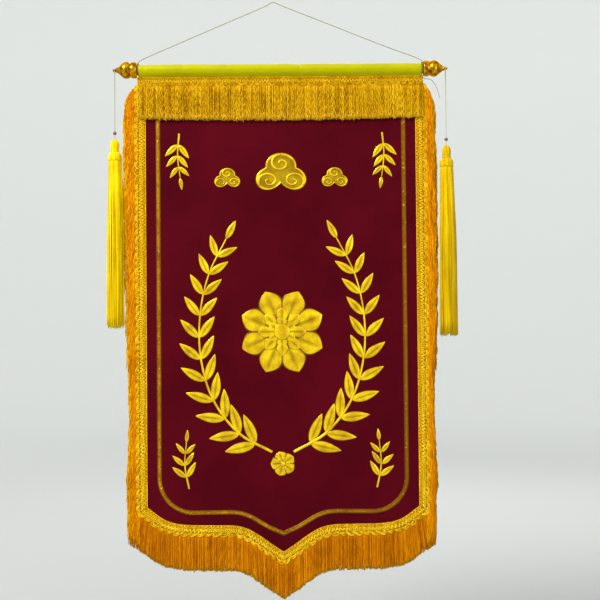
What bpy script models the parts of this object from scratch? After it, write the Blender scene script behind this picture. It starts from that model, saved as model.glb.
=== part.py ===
"""A silk honor pennant on its hanging rod, at its real size in metres, with +Z up.

The origin is where the hanging cord bears on the nail. +X runs to the right of the face, the cloth
hangs in the XZ plane, and +Y points back to the wall. Sizes across are measured from the rod's
middle, which hangs a little to the right of the nail.
"""

import math
import random

import bmesh
import bpy
from mathutils import Matrix, Vector

# Rod and finials
MIDDLE_X = 0.0165
ROD_Z = -0.163
ROD_RADIUS = 0.011
ROD_HALF = 0.358
FINIAL_BASE = 0.3468
SOCKET_RADIUS = 0.0115
SOCKET_DEPTH = 0.0118
# The finial's outline: distance from its inner face, and radius there
FINIAL_OUTLINE = [
    (0.0600, 0.0012),
    (0.0590, 0.0028),
    (0.0570, 0.0034),
    (0.0560, 0.0026),
    (0.0540, 0.0028),
    (0.0520, 0.0048),
    (0.0460, 0.0078),
    (0.0410, 0.0115),
    (0.0360, 0.0165),
    (0.0300, 0.0195),
    (0.0240, 0.0197),
    (0.0185, 0.0178),
    (0.0165, 0.0160),
    (0.0145, 0.0182),
    (0.0080, 0.0192),
    (0.0020, 0.0184),
    (0.0000, 0.0160),
]
STRING_GROOVE = 0.0550
STRING_GROOVE_RADIUS = 0.0028

# Cloth
TOUCH = 0.0003
CLOTH_HALF = 0.345
CLOTH_TOP = -0.186
CLOTH_THICK = 0.002
CLOTH_COLUMNS = 26
CLOTH_ROWS = 9
# The red field's lower edge: distance from the middle, and height
LOWER_EDGE = [
    (0.000, -1.3300),
    (0.031, -1.3090),
    (0.058, -1.2895),
    (0.087, -1.2730),
    (0.116, -1.2650),
    (0.172, -1.2630),
    (0.242, -1.2610),
    (0.283, -1.2510),
    (0.327, -1.2210),
    (0.352, -1.2040),
]
# Shallow folds: how many half waves across, where they start, and how far they stand out
FOLDS = [
    (3.1, 0.35, 0.0042),
    (5.2, 0.80, 0.0014),
]
FOLDS_FULL_Z = -1.30

# Sleeve
SLEEVE_HALF = 0.3432
SLEEVE_THICK = 0.0012
SLEEVE_RADIUS = 0.01235
SLEEVE_PUFF = 0.0016
SLEEVE_DRAWN_IN = 0.046
SLEEVE_COLUMNS = 12
# Its section off the rod: the turn round the axis in degrees, then distance out and height
SLEEVE_TURNS = [90, 55, 20, -12]
SLEEVE_LOWER = [(0.0094, -0.1725), (0.0038, -0.1788)]
FLANGE_TOP = -0.1812
FLANGE_END = -0.1992

# Gimp and fringe, with how far their back and front stand before the cloth's middle
RED_HALF = 0.327
GIMP_WIDE = 0.025
GIMP_FACES = (0.0013, 0.0025)
LOCK_ROOT_FACES = (0.0004, 0.0036)
LOCK_END_FACES = (0.0008, 0.0032)
TOP_GIMP = -0.1817
TOP_GIMP_WIDE = 0.0205
TOP_GIMP_HALF = SLEEVE_HALF + 0.003
TOP_GIMP_FACES = (0.0028, 0.0043)
TOP_LOCK_ROOT_FACES = (0.0028, 0.0058)
TOP_LOCK_END_FACES = (0.0028, 0.0050)
TOP_FRINGE_END = -0.282
SIDE_GIMP_TOP = -0.2000
CORNER_Z = -1.2210
CORNER_DROP = 0.0130
CORNER_GAP = 0.0006
FRINGE = 0.083
FRINGE_BEND = 0.013
CORNER_SPREAD = 0.016
SIDE_FALL = 0.074
SIDE_REACH = 0.0225
TOP_LOCKS = 60
SIDE_LOCKS = 34
BOTTOM_LOCKS = 64

# Border line
BORDER_HALF = 0.2975
BORDER_WIDE = 0.0115
BORDER_THICK = 0.0010
BORDER_BEFORE = 0.0020
BORDER_TOP = -0.2045
BORDER_CORNER = 0.082
# Its lower run: distance from the middle, and height
BORDER_LOWER = [
    (0.000, -1.2855),
    (0.034, -1.2705),
    (0.057, -1.2570),
    (0.082, -1.2425),
    (0.112, -1.2335),
    (0.160, -1.2325),
    (0.2155, -1.2330),
]

# Raised gold ornaments
ORNAMENT_THICK = 0.0016
ORNAMENT_BEFORE = 0.0024
HEART_BEFORE = ORNAMENT_BEFORE + ORNAMENT_THICK + TOUCH
# Each flower's height, radius and petals
ROSETTE = (-0.800, 0.105, 8)
ROSETTE_HEART = (-0.800, 0.036, 6)
KNOT = (-1.118, 0.030, 5)
# Each cloud's distance from the middle, height and half width
CLOUD_MIDDLE = (0.0, -0.420, 0.066)
CLOUD_ASIDE = (0.130, -0.430, 0.034)
# Each spray's leaf length, leaf angle in degrees, and stem width
WREATH_LEAF = (0.078, 40, 0.007)
SPRIG_LEAF = (0.046, 42, 0.005)
# The stem of each half of the wreath, from its foot up: distance from the middle, and height
WREATH = [
    (0.026, -1.090),
    (0.104, -1.045),
    (0.166, -0.965),
    (0.196, -0.865),
    (0.198, -0.760),
    (0.176, -0.660),
    (0.134, -0.575),
]
UPPER_SPRIG = [(0.246, -0.318), (0.250, -0.372), (0.244, -0.426)]
LOWER_SPRIG = [(0.226, -1.176), (0.236, -1.120), (0.232, -1.064)]

# Cords, beads and tassels
CORD = 0.0020
STRING = 0.0016
TIE_X = 0.3450
TIE_RADIUS = 0.01255
TASSEL_X = FINIAL_BASE + STRING_GROOVE
BEAD_RADIUS = 0.0045
BEAD_HOLE = 0.0023
BEAD_OVER_TASSEL = 0.0150
# The tassel's head: depth below its top, and radius there
TASSEL_HEAD = [
    (0.0000, 0.0030),
    (0.0025, 0.0065),
    (0.0070, 0.0092),
    (0.0140, 0.0102),
    (0.0210, 0.0098),
    (0.0265, 0.0084),
    (0.0300, 0.0090),
    (0.0350, 0.0126),
    (0.0400, 0.0150),
    (0.0440, 0.0155),
]
TASSEL_SKIRT_RINGS = (0.0098, 0.0045)
TASSEL_LOCKS = 14
# The sections of a lock: the share of its fall, how far it flares, and its breadth
TASSEL_LOCK = [(0.30, 1.12, 0.86), (1.00, 1.42, 0.80)]
# Each tassel's side, top, length and lean
TASSELS = {"left": (-1, -0.331, 0.452, 0.0), "right": (1, -0.351, 0.457, 0.004)}

random_length = random.Random(12)


def finish(name, base_color, roughness, metallic=0.0):
    material = bpy.data.materials.new(name)
    material.use_nodes = True
    shader = material.node_tree.nodes["Principled BSDF"]
    shader.inputs["Base Color"].default_value = (*base_color, 1.0)
    shader.inputs["Roughness"].default_value = roughness
    shader.inputs["Metallic"].default_value = metallic
    return material


def read_row(rows, across):
    """The height at a distance from the middle, on a smooth curve through the rows."""
    slopes = []
    for index, (place, height) in enumerate(rows):
        before = rows[max(index - 1, 0)]
        after = rows[min(index + 1, len(rows) - 1)]
        slopes.append((after[1] - before[1]) / (after[0] - before[0]))
    index = max(i for i, row in enumerate(rows[:-1]) if row[0] <= across or i == 0)
    (start, low), (end, high) = rows[index], rows[index + 1]
    span = end - start
    t = (across - start) / span
    rise = high - low
    bend = slopes[index] * span - rise
    unbend = rise - slopes[index + 1] * span
    return low + rise * t + t * (1 - t) * (bend * (1 - t) + unbend * t)


def cloth_depth(x, z):
    """How far the cloth's middle lies behind the rod's axis."""
    across = (x - MIDDLE_X) / CLOTH_HALF
    down = min(max((CLOTH_TOP - z) / (CLOTH_TOP - FOLDS_FULL_Z), 0.0), 1.1)
    depth = 0.0
    for halves, start, height in FOLDS:
        depth += height * math.sin(math.pi * (halves * across / 2 + start))
    return depth * down * down * (1.6 - 0.6 * down)


def add_object(name, data, material):
    if isinstance(data, bmesh.types.BMesh):
        bmesh.ops.recalc_face_normals(data, faces=data.faces[:])
        mesh = bpy.data.meshes.new(name)
        data.to_mesh(mesh)
        data.free()
        mesh.shade_smooth()
        mesh.set_sharp_from_angle(angle=math.radians(35))
        data = mesh
    data.materials.append(material)
    item = bpy.data.objects.new(name, data)
    pennant.objects.link(item)
    return item


def add_sheet(name, shape, thickness, material):
    shell = add_object(name, shape, material).modifiers.new("Thickness", "SOLIDIFY")
    shell.thickness = thickness
    shell.offset = 0.0


def placed_grid(columns, rows, place):
    """A sheet of columns by rows, each of its points at place(u, v), with u and v from 0 to 1."""
    shape = bmesh.new()
    bmesh.ops.create_grid(shape, x_segments=columns, y_segments=rows, size=0.5)
    for point in shape.verts:
        point.co = place(point.co.x + 0.5, point.co.y + 0.5)
    return shape


def on_cloth(across, z, before=0.0):
    """A point at a distance from the middle, standing before the cloth's middle."""
    x = MIDDLE_X + across
    return Vector((x, cloth_depth(x, z) - before, z))


def rod():
    shape = bmesh.new()
    lie = Matrix.Translation((MIDDLE_X, 0, ROD_Z)) @ Matrix.Rotation(math.pi / 2, 4, "Y")
    bmesh.ops.create_cone(
        shape,
        cap_ends=True,
        segments=18,
        radius1=ROD_RADIUS,
        radius2=ROD_RADIUS,
        depth=2 * ROD_HALF,
        matrix=lie,
    )
    add_object("rod", shape, finish("rod wood", (0.62, 0.45, 0.27), 0.6))


def finial(name, side, plating):
    """A turned cap: its tip, its outer side down to the inner face, then the socket for the rod."""
    outline = bpy.data.meshes.new(name)
    points = [(0.0, 0.0, FINIAL_OUTLINE[0][0])]
    points += [(radius, 0.0, out) for out, radius in FINIAL_OUTLINE]
    points += [(SOCKET_RADIUS, 0.0, 0.0), (SOCKET_RADIUS, 0.0, SOCKET_DEPTH), (0.0, 0.0, SOCKET_DEPTH)]
    outline.from_pydata(points, [(i, i + 1) for i in range(len(points) - 1)], [])
    item = add_object(name, outline, plating)
    turn = item.modifiers.new("Turned", "SCREW")
    turn.steps = 16
    turn.render_steps = 16
    turn.use_merge_vertices = True
    turn.merge_threshold = 0.00005
    item.rotation_euler = (0, side * math.pi / 2, 0)
    item.location = (MIDDLE_X + side * FINIAL_BASE, 0, ROD_Z)


def sleeve_fullness(across):
    """How far the satin stands off the rod: it puffs between the places where it is drawn in."""
    waves = 0.5 + 0.3 * math.sin(21 * across + 0.6) + 0.2 * math.sin(47 * across)
    pinch = math.exp(-((across - SLEEVE_DRAWN_IN) / 0.02) ** 2)
    ends = 1 - (abs(across) / SLEEVE_HALF) ** 6
    return SLEEVE_PUFF * waves * ends * (1 - pinch)


def sleeve():
    """A strip of satin taken round the rod, its two edges lying on both faces of the cloth's head."""
    flange = CLOTH_THICK / 2 + TOUCH + SLEEVE_THICK / 2

    def half_section(fullness):
        points = []
        for turn in SLEEVE_TURNS:
            angle = math.radians(turn)
            radius = SLEEVE_RADIUS + fullness * (0.6 + 0.4 * math.cos(angle))
            points.append((radius * math.cos(angle), ROD_Z + radius * math.sin(angle)))
        (out, z), fold = SLEEVE_LOWER
        return [*points, (out + fullness, z), fold, (flange, FLANGE_TOP), (flange, FLANGE_END)]

    rows = 2 * (len(half_section(0.0)) - 1)

    def place(u, v):
        across = SLEEVE_HALF * (2 * u - 1)
        step = round(v * rows) - rows // 2
        out, z = half_section(sleeve_fullness(across))[abs(step)]
        return Vector((MIDDLE_X + across, math.copysign(out, step) if step else 0.0, z))

    satin = finish("golden satin", (0.62, 0.50, 0.02), 0.35)
    add_sheet("sleeve", placed_grid(SLEEVE_COLUMNS, rows, place), SLEEVE_THICK, satin)


def edge_slope(across):
    step = 0.001
    return (read_row(LOWER_EDGE, across + step) - read_row(LOWER_EDGE, across)) / step


def lower_outline(across, width):
    """The height of a line that runs a width outside the red field's lower edge."""
    across = min(abs(across), LOWER_EDGE[-1][0] - 0.001)
    return read_row(LOWER_EDGE, across) - width * math.hypot(1.0, edge_slope(across))


def field():
    """Velvet, its lower edge running on under the gimp."""

    def place(u, v):
        across = CLOTH_HALF * (2 * u - 1)
        low = lower_outline(across, 0.75 * GIMP_WIDE)
        return on_cloth(across, low + (CLOTH_TOP - low) * v)

    velvet = finish("dark red velvet", (0.10, 0.005, 0.009), 0.85)
    add_sheet("field", placed_grid(CLOTH_COLUMNS, CLOTH_ROWS, place), CLOTH_THICK, velvet)


def fringe_strip(name, locks, edges, faces, steps, yarn):
    """A gimp with one lock of fringe out of each of its columns, fused to it at the root.

    edges(u) gives the gimp's inner and outer edge there, and steps(u) the lock's sections: out, down,
    breadth, and its faces. The faces are how far the back and the front stand before the cloth.
    """
    shape = bmesh.new()
    bmesh.ops.create_grid(shape, x_segments=locks, y_segments=1, size=0.5)
    raised = bmesh.ops.extrude_face_region(shape, geom=shape.faces[:], use_keep_orig=True)
    for item in raised["geom"]:
        if isinstance(item, bmesh.types.BMVert):
            item.co.z = 1.0
    roots = [face for face in shape.faces if all(point.co.y < 0 for point in face.verts)]
    roots.sort(key=lambda face: face.calc_center_median().x)
    back, front = faces
    for point in shape.verts:
        across, z = edges(point.co.x + 0.5)[int(point.co.y < 0)]
        point.co = on_cloth(across, z, front if point.co.z > 0.5 else back)
    for index, face in enumerate(roots):
        root = face.calc_center_median()
        behind = {point.co.to_tuple(6): point.co.y > root.y for point in face.verts}
        corners = [(point.co - root, behind[point.co.to_tuple(6)]) for point in face.verts]
        for out, down, breadth, lock_faces in steps((index + 0.5) / locks):
            face = bmesh.ops.extrude_discrete_faces(shape, faces=[face])["faces"][0]
            for point, (corner, is_back) in zip(face.verts, corners):
                place = root + Vector((out, 0, -down)) + corner * breadth
                point.co = on_cloth(place.x - MIDDLE_X, place.z, lock_faces[not is_back])
    add_object(name, shape, yarn)


def top_trim(yarn):
    gimp_low = TOP_GIMP - TOP_GIMP_WIDE

    def edges(u):
        across = TOP_GIMP_HALF * (2 * u - 1)
        return (across, TOP_GIMP), (across, gimp_low)

    def steps(u):
        fall = gimp_low - TOP_FRINGE_END + random_length.uniform(-0.002, 0.002)
        return [(0, FRINGE_BEND, 0.88, TOP_LOCK_ROOT_FACES), (0, fall, 0.80, TOP_LOCK_END_FACES)]

    fringe_strip("top_trim", TOP_LOCKS, edges, TOP_GIMP_FACES, steps, yarn)


def side_trim(name, side, yarn):
    """Its locks leave the upright gimp sideways and fall aslant, each over the next."""
    length = SIDE_GIMP_TOP - CORNER_Z - CORNER_GAP

    def edges(u):
        inner = SIDE_GIMP_TOP - u * length
        return (side * RED_HALF, inner), (side * (RED_HALF + GIMP_WIDE), inner - u * CORNER_DROP)

    def steps(u):
        spread = 0.0015 * math.sin(9 * u + side) + 0.004 * (side < 0) * math.exp(-4 * u)
        out = side * (SIDE_REACH + spread)
        bend = (0.50 * out, 0.20 * SIDE_FALL, 0.84, LOCK_ROOT_FACES)
        return [bend, (out, SIDE_FALL, 0.36, LOCK_END_FACES)]

    fringe_strip(name, SIDE_LOCKS, edges, GIMP_FACES, steps, yarn)


def bottom_trim(yarn):
    outer_half = RED_HALF + GIMP_WIDE

    def edges(u):
        share = 2 * u - 1
        inner = share * RED_HALF
        outer = share * outer_half
        return (inner, lower_outline(inner, 0.0)), (outer, lower_outline(outer, GIMP_WIDE))

    def steps(u):
        fall = FRINGE + random_length.uniform(-0.003, 0.003)
        spread = CORNER_SPREAD * (2 * u - 1) ** 15
        bend = (spread * FRINGE_BEND / fall, FRINGE_BEND, 0.86, LOCK_ROOT_FACES)
        return [bend, (spread, fall, 0.76, LOCK_END_FACES)]

    fringe_strip("bottom_trim", BOTTOM_LOCKS, edges, GIMP_FACES, steps, yarn)


def border_path():
    """The border line's middle, from the upper left round the lower edge to the upper right."""
    turn_z = BORDER_LOWER[-1][1] + BORDER_CORNER
    half = [(BORDER_HALF, BORDER_TOP + (turn_z - BORDER_TOP) * step / 8) for step in range(8)]
    for step in range(6):
        angle = math.radians(90 * step / 6)
        reach = BORDER_HALF - BORDER_CORNER * (1 - math.cos(angle))
        half.append((reach, turn_z - BORDER_CORNER * math.sin(angle)))
    for step in range(9):
        across = BORDER_LOWER[-1][0] * (1 - step / 8)
        half.append((across, read_row(BORDER_LOWER, across)))
    return [(-across, z) for across, z in half] + [point for point in reversed(half[:-1])]


def border_line(gold):
    path = border_path()

    def place(u, v):
        index = round(u * (len(path) - 1))
        before = Vector(path[max(index - 1, 0)])
        after = Vector(path[min(index + 1, len(path) - 1)])
        here = Vector(path[index])
        incoming = (here - before).normalized() if index else (after - here).normalized()
        outgoing = (after - here).normalized() if index < len(path) - 1 else incoming
        along = (incoming + outgoing).normalized()
        spread = BORDER_WIDE * (v - 0.5) / max(along.dot(incoming), 0.5)
        across, z = here + Vector((-along.y, along.x)) * spread
        return on_cloth(across, z, BORDER_BEFORE)

    add_sheet("border_line", placed_grid(len(path) - 1, 1, place), BORDER_THICK, gold)


def lay_on_cloth(name, shape, gold, before=ORNAMENT_BEFORE):
    """Raised gold from a flat shape drawn as across and height."""
    for point in shape.verts:
        point.co = on_cloth(point.co.x, point.co.y, before)
    add_sheet(name, shape, ORNAMENT_THICK, gold)


def outline_plate(name, outline, gold):
    """A filled outline, its triangles kept short so that it follows the cloth."""
    line = bpy.data.curves.new(name, "CURVE")
    line.dimensions = "2D"
    line.fill_mode = "BOTH"
    spline = line.splines.new("POLY")
    spline.points.add(len(outline) - 1)
    for point, (across, z) in zip(spline.points, outline):
        point.co = (across, z, 0.0, 1.0)
    spline.use_cyclic_u = True
    flat = bpy.data.objects.new(name, line)
    pennant.objects.link(flat)
    filled = bpy.data.meshes.new_from_object(flat.evaluated_get(bpy.context.evaluated_depsgraph_get()))
    bpy.data.objects.remove(flat)
    bpy.data.curves.remove(line)
    shape = bmesh.new()
    shape.from_mesh(filled)
    bpy.data.meshes.remove(filled)
    bmesh.ops.remove_doubles(shape, verts=shape.verts[:], dist=0.00001)
    bmesh.ops.beautify_fill(shape, faces=shape.faces[:], edges=shape.edges[:])
    lay_on_cloth(name, shape, gold)


def spray(name, side, rows, leaves, gold):
    """A stem with a leaf to each side at every point of its route, and one leaf at its end."""
    leaf, leaf_angle, stem_wide = leaves
    stations = [point.xy for point in smooth_route([(side * across, z, 0.0) for across, z in rows], 2)]
    up_side, down_side = [], []
    count = len(stations) - 1
    for index, here in enumerate(stations[1:], 1):
        along = (here - stations[index - 1]).normalized()
        across = Vector((along.y, -along.x))
        size = leaf * (1.0 - 0.35 * index / count)
        if index == count:
            tip = [here + along * size * 0.4 + across * size * 0.17, here + along * size]
            tip += [here + along * size * 0.4 - across * size * 0.17]
            break
        for hand, points in ((1, up_side), (-1, down_side)):
            turn = Matrix.Rotation(-hand * math.radians(leaf_angle), 2)
            reach = turn @ along
            breadth = Vector((reach.y, -reach.x)) * hand
            root = here + across * hand * stem_wide / 2
            points.append(root - along * size * 0.05)
            points.append(root + reach * size * 0.42 + breadth * size * 0.17)
            points.append(root + reach * size)
            points.append(root + reach * size * 0.42 - breadth * size * 0.17)
            points.append(root + along * size * 0.05)
    foot = (stations[1] - stations[0]).normalized()
    foot_side = Vector((foot.y, -foot.x)) * stem_wide / 2
    outline = [stations[0] + foot_side, *up_side, *tip, *reversed(down_side), stations[0] - foot_side]
    outline_plate(name, outline, gold)


def rosette(name, flower, gold, before=ORNAMENT_BEFORE):
    """A round flower: its heart, a ring, and round petals parted by notches."""
    z, radius, petals = flower
    shape = bmesh.new()
    bmesh.ops.create_circle(shape, cap_ends=True, cap_tris=True, segments=4 * petals, radius=0.34 * radius)
    for reach, notch in ((0.66, 0.0), (1.0, 0.22)):
        rim = [edge for edge in shape.edges if edge.is_boundary]
        ring = bmesh.ops.extrude_edge_only(shape, edges=rim)["geom"]
        for point in (item for item in ring if isinstance(item, bmesh.types.BMVert)):
            turn = math.atan2(point.co.y, point.co.x)
            parting = abs(math.cos(petals * turn / 2)) ** 3
            point.co = Vector((math.cos(turn), math.sin(turn), 0)) * radius * (reach - notch * parting)
    bmesh.ops.translate(shape, verts=shape.verts[:], vec=(0, z, 0))
    lay_on_cloth(name, shape, gold, before)


def cloud(name, side, head, gold):
    """A cloud head of three lobes over a pointed foot."""
    across, z, half_wide = head
    outline = []
    for step in range(30):
        turn = 2 * math.pi * (step + 0.5) / 30
        lobes = 0.66 + 0.34 * abs(math.cos(1.5 * (turn - math.pi / 2)))
        foot = 0.30 * max(0.0, -math.sin(turn)) ** 6
        reach = half_wide * (lobes - foot)
        outline.append((side * across + reach * math.cos(turn), z + 0.82 * reach * math.sin(turn)))
    outline_plate(name, outline, gold)


def ornaments(gold):
    """A rosette inside a wreath, a row of clouds over it, and a sprig in each corner."""
    for word, side in (("left", -1), ("right", 1)):
        spray(f"wreath_{word}", side, WREATH, WREATH_LEAF, gold)
        cloud(f"cloud_{word}", side, CLOUD_ASIDE, gold)
        spray(f"sprig_upper_{word}", side, UPPER_SPRIG, SPRIG_LEAF, gold)
        spray(f"sprig_lower_{word}", side, LOWER_SPRIG, SPRIG_LEAF, gold)
    cloud("cloud_middle", 1, CLOUD_MIDDLE, gold)
    rosette("rosette", ROSETTE, gold)
    rosette("rosette_heart", ROSETTE_HEART, gold, HEART_BEFORE)
    rosette("knot", KNOT, gold)


def smooth_route(route, per_span):
    """Points on a smooth curve through the route's own, evenly parted by the root of their distance."""
    points = [Vector(point) for point in route]
    points = [2 * points[0] - points[1], *points, 2 * points[-1] - points[-2]]
    curve = []
    for a, b, c, d in zip(points, points[1:], points[2:], points[3:]):
        first = math.sqrt((b - a).length)
        second = first + math.sqrt((c - b).length)
        third = second + math.sqrt((d - c).length)
        for step in range(per_span):
            share = step / per_span
            t = first + (second - first) * share
            ab = a.lerp(b, t / first)
            bc = b.lerp(c, share)
            cd = c.lerp(d, (t - second) / (third - second))
            early = ab.lerp(bc, t / second)
            late = bc.lerp(cd, (t - first) / (third - first))
            curve.append(early.lerp(late, share))
    return [*curve, points[-2]]


def cord(name, route, diameter, per_span, yarn):
    line = bpy.data.curves.new(name, "CURVE")
    line.dimensions = "3D"
    line.bevel_depth = diameter / 2
    line.bevel_resolution = 2
    line.use_fill_caps = True
    points = smooth_route(route, per_span)
    spline = line.splines.new("POLY")
    spline.points.add(len(points) - 1)
    for point, place in zip(spline.points, points):
        point.co = (*place, 1.0)
    add_object(name, line, yarn)


def hanging_cord(yarn):
    """Up from the left tie, over the nail and down to the right tie, held taut."""
    left = MIDDLE_X - TIE_X
    right = MIDDLE_X + TIE_X
    end = ROD_Z + TIE_RADIUS + CORD / 2 + TOUCH
    over = CORD / 2
    route = [
        (left, 0, end),
        (left + 0.0004, 0, end + 0.0040),
        (left + 0.0045, 0, end + 0.0085),
        (left + 0.0900, 0, -0.1025),
        (left + 0.2100, 0, -0.0510),
        (-0.0150, 0, -0.0066),
        (-0.0060, 0, over - 0.0022),
        (0.0000, 0, over),
        (0.0070, 0, over - 0.0016),
        (0.0180, 0, -0.0060),
        (0.1200, 0, -0.0470),
        (right - 0.0900, 0, -0.1080),
        (right - 0.0045, 0, end + 0.0080),
        (right - 0.0004, 0, end + 0.0040),
        (right, 0, end),
    ]
    cord("hanging_cord", route, CORD, 3, yarn)


def tie(name, side, yarn):
    """The turn of cord round the rod, between the sleeve's end and the finial."""
    bpy.ops.mesh.primitive_torus_add(
        major_segments=18,
        minor_segments=6,
        major_radius=TIE_RADIUS,
        minor_radius=CORD / 2,
        location=(MIDDLE_X + side * TIE_X, 0, ROD_Z),
        rotation=(0, math.pi / 2, 0),
    )
    ring = bpy.context.object
    ring.name = name
    ring.data.name = name
    ring.data.materials.append(yarn)
    for holder in ring.users_collection:
        holder.objects.unlink(ring)
    pennant.objects.link(ring)


def cord_tail(yarn):
    """The tie's free end: down from the rod, under the finial and out beside the fringe."""
    start = MIDDLE_X + TIE_X
    below = ROD_Z - TIE_RADIUS - CORD / 2 - TOUCH
    route = [
        (start, 0, below),
        (start + 0.0003, 0, below - 0.0055),
        (start + 0.0040, 0, below - 0.0100),
        (start + 0.0120, 0, below - 0.0115),
        (start + 0.0220, 0.001, below - 0.0140),
        (start + 0.0320, 0.003, below - 0.0260),
        (start + 0.0385, 0.004, below - 0.0410),
        (start + 0.0430, 0.004, below - 0.0580),
    ]
    cord("cord_tail", route, STRING, 3, yarn)


def tassel_string(name, side, tassel_top, yarn):
    """One string, up through the bead, over the finial's groove and down through the bead again."""
    x = MIDDLE_X + side * TASSEL_X
    over = STRING_GROOVE_RADIUS + TOUCH + STRING / 2
    apart = 0.0010
    end = tassel_top + TOUCH
    half = [
        (x, -apart, end),
        (x, -apart, tassel_top + BEAD_OVER_TASSEL + 0.008),
        (x, -0.0030, ROD_Z - 0.050),
        (x, -over, ROD_Z - 0.0020),
        (x, -0.72 * over, ROD_Z + 0.72 * over),
    ]
    back = [(place[0], -place[1], place[2]) for place in reversed(half)]
    cord(name, [*half, (x, 0, ROD_Z + over), *back], STRING, 2, yarn)


def bead(name, side, tassel_top, lacquer):
    outline = bpy.data.meshes.new(name)
    hole_z = math.sqrt(BEAD_RADIUS**2 - BEAD_HOLE**2)
    top = math.atan2(hole_z, BEAD_HOLE)
    turns = [top * (1 - step / 3) for step in range(7)]
    points = [(BEAD_RADIUS * math.cos(angle), 0, BEAD_RADIUS * math.sin(angle)) for angle in turns]
    links = [(i, (i + 1) % len(points)) for i in range(len(points))]
    outline.from_pydata(points, links, [])
    item = add_object(name, outline, lacquer)
    turn = item.modifiers.new("Turned", "SCREW")
    turn.steps = 12
    turn.render_steps = 12
    turn.use_merge_vertices = True
    turn.merge_threshold = 0.00005
    item.location = (MIDDLE_X + side * TASSEL_X, 0, tassel_top + BEAD_OVER_TASSEL)


def tassel(name, side, top, length, lean, yarn):
    """A wound head and neck, with a skirt of locks out of its base."""
    shape = bmesh.new()
    axis = Vector((MIDDLE_X + side * TASSEL_X, 0, top))
    bmesh.ops.create_circle(shape, cap_ends=True, segments=TASSEL_LOCKS, radius=TASSEL_HEAD[0][1])
    base = TASSEL_HEAD[-1][0]
    rings = [*TASSEL_HEAD[1:], *((base, radius) for radius in TASSEL_SKIRT_RINGS)]
    for down, radius in rings:
        rim = [edge for edge in shape.edges if edge.is_boundary]
        ring = bmesh.ops.extrude_edge_only(shape, edges=rim)["geom"]
        for point in (item for item in ring if isinstance(item, bmesh.types.BMVert)):
            outward = Vector((point.co.x, point.co.y, 0)).normalized()
            point.co = outward * radius + Vector((0, 0, -down))
    bmesh.ops.holes_fill(shape, edges=[edge for edge in shape.edges if edge.is_boundary], sides=0)
    outer, inner = TASSEL_SKIRT_RINGS
    under = [face for face in shape.faces if len(face.verts) == 4]
    under = [face for face in under if all(point.co.z < -base + TOUCH for point in face.verts)]
    under.sort(key=lambda face: math.atan2(*face.calc_center_median().xy))
    wide = [face for face in under if face.calc_center_median().xy.length > outer]
    narrow = [face for face in under if face.calc_center_median().xy.length < outer]
    for face in [*wide, *narrow[::2]]:
        root = face.calc_center_median()
        corners = [point.co - root for point in face.verts]
        fall = length - base + random_length.uniform(-0.006, 0.004)
        for share, flare, size in TASSEL_LOCK:
            face = bmesh.ops.extrude_discrete_faces(shape, faces=[face])["faces"][0]
            shift = Vector((lean, 0, -1)) * fall * share
            for point, corner in zip(face.verts, corners):
                point.co = Vector((root.x * flare, root.y * flare, root.z)) + shift + corner * size
    bmesh.ops.translate(shape, verts=shape.verts[:], vec=axis)
    add_object(name, shape, yarn)


for leftover in list(bpy.data.objects):
    bpy.data.objects.remove(leftover, do_unlink=True)
pennant = bpy.data.collections.new("silk_honor_pennant")
bpy.context.scene.collection.children.link(pennant)

gold_yarn = finish("golden rayon fringe", (0.72, 0.36, 0.02), 0.5)
tassel_yarn = finish("yellow silk tassel", (0.80, 0.50, 0.02), 0.45)
cord_yarn = finish("pale cord", (0.62, 0.62, 0.42), 0.7)
gold_film = finish("raised gold", (0.55, 0.30, 0.06), 0.35, 0.5)
plating = finish("gold plating", (0.75, 0.42, 0.08), 0.2, 1.0)
lacquer = finish("red lacquer", (0.16, 0.02, 0.01), 0.3)

rod()
sleeve()
field()
border_line(gold_film)
ornaments(gold_film)
top_trim(gold_yarn)
bottom_trim(gold_yarn)
for word, side in (("left", -1), ("right", 1)):
    side_trim(f"side_trim_{word}", side, gold_yarn)
    finial(f"finial_{word}", side, plating)
    tie(f"tie_{word}", side, cord_yarn)
hanging_cord(cord_yarn)
cord_tail(cord_yarn)
for word, (side, top, length, lean) in TASSELS.items():
    tassel_string(f"tassel_string_{word}", side, top, cord_yarn)
    bead(f"bead_{word}", side, top, lacquer)
    tassel(f"tassel_{word}", side, top, length, lean, tassel_yarn)
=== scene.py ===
"""The looks of a silk honor pennant that hangs from a cord by its rod.

Everything is in metres in the part's own frame: the origin is where the cord bears on the nail, +X runs to
the right of the face, +Y back to the wall and +Z up. The sections follow the pennant as it is put together.
"""

import math

import bpy
import numpy as np
from mathutils import Matrix, Vector


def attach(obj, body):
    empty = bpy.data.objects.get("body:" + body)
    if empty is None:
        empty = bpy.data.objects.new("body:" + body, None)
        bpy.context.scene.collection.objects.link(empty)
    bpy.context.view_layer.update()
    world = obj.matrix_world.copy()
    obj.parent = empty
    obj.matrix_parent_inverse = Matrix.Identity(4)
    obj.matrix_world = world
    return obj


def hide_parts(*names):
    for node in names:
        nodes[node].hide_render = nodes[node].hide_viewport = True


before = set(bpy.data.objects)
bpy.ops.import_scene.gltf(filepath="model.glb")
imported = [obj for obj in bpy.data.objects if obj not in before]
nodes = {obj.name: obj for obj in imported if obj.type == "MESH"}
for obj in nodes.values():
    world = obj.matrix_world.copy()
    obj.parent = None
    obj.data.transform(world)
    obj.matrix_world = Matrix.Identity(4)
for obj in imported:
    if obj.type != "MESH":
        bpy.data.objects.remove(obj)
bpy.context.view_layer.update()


# Camera. It looks square at the face from a little over two metres, and leans by half a degree, as the
# photograph does.
camera_lens = bpy.data.cameras.new("camera")
camera_lens.lens = 60
camera_lens.sensor_width = 36
camera = bpy.data.objects.new("camera", camera_lens)
camera.location = (0.0476, -2.417, -0.7775)
camera.rotation_euler = (math.radians(91.274), math.radians(0.458), math.radians(-0.289))
bpy.context.scene.collection.objects.link(camera)
bpy.context.scene.camera = camera
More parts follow.
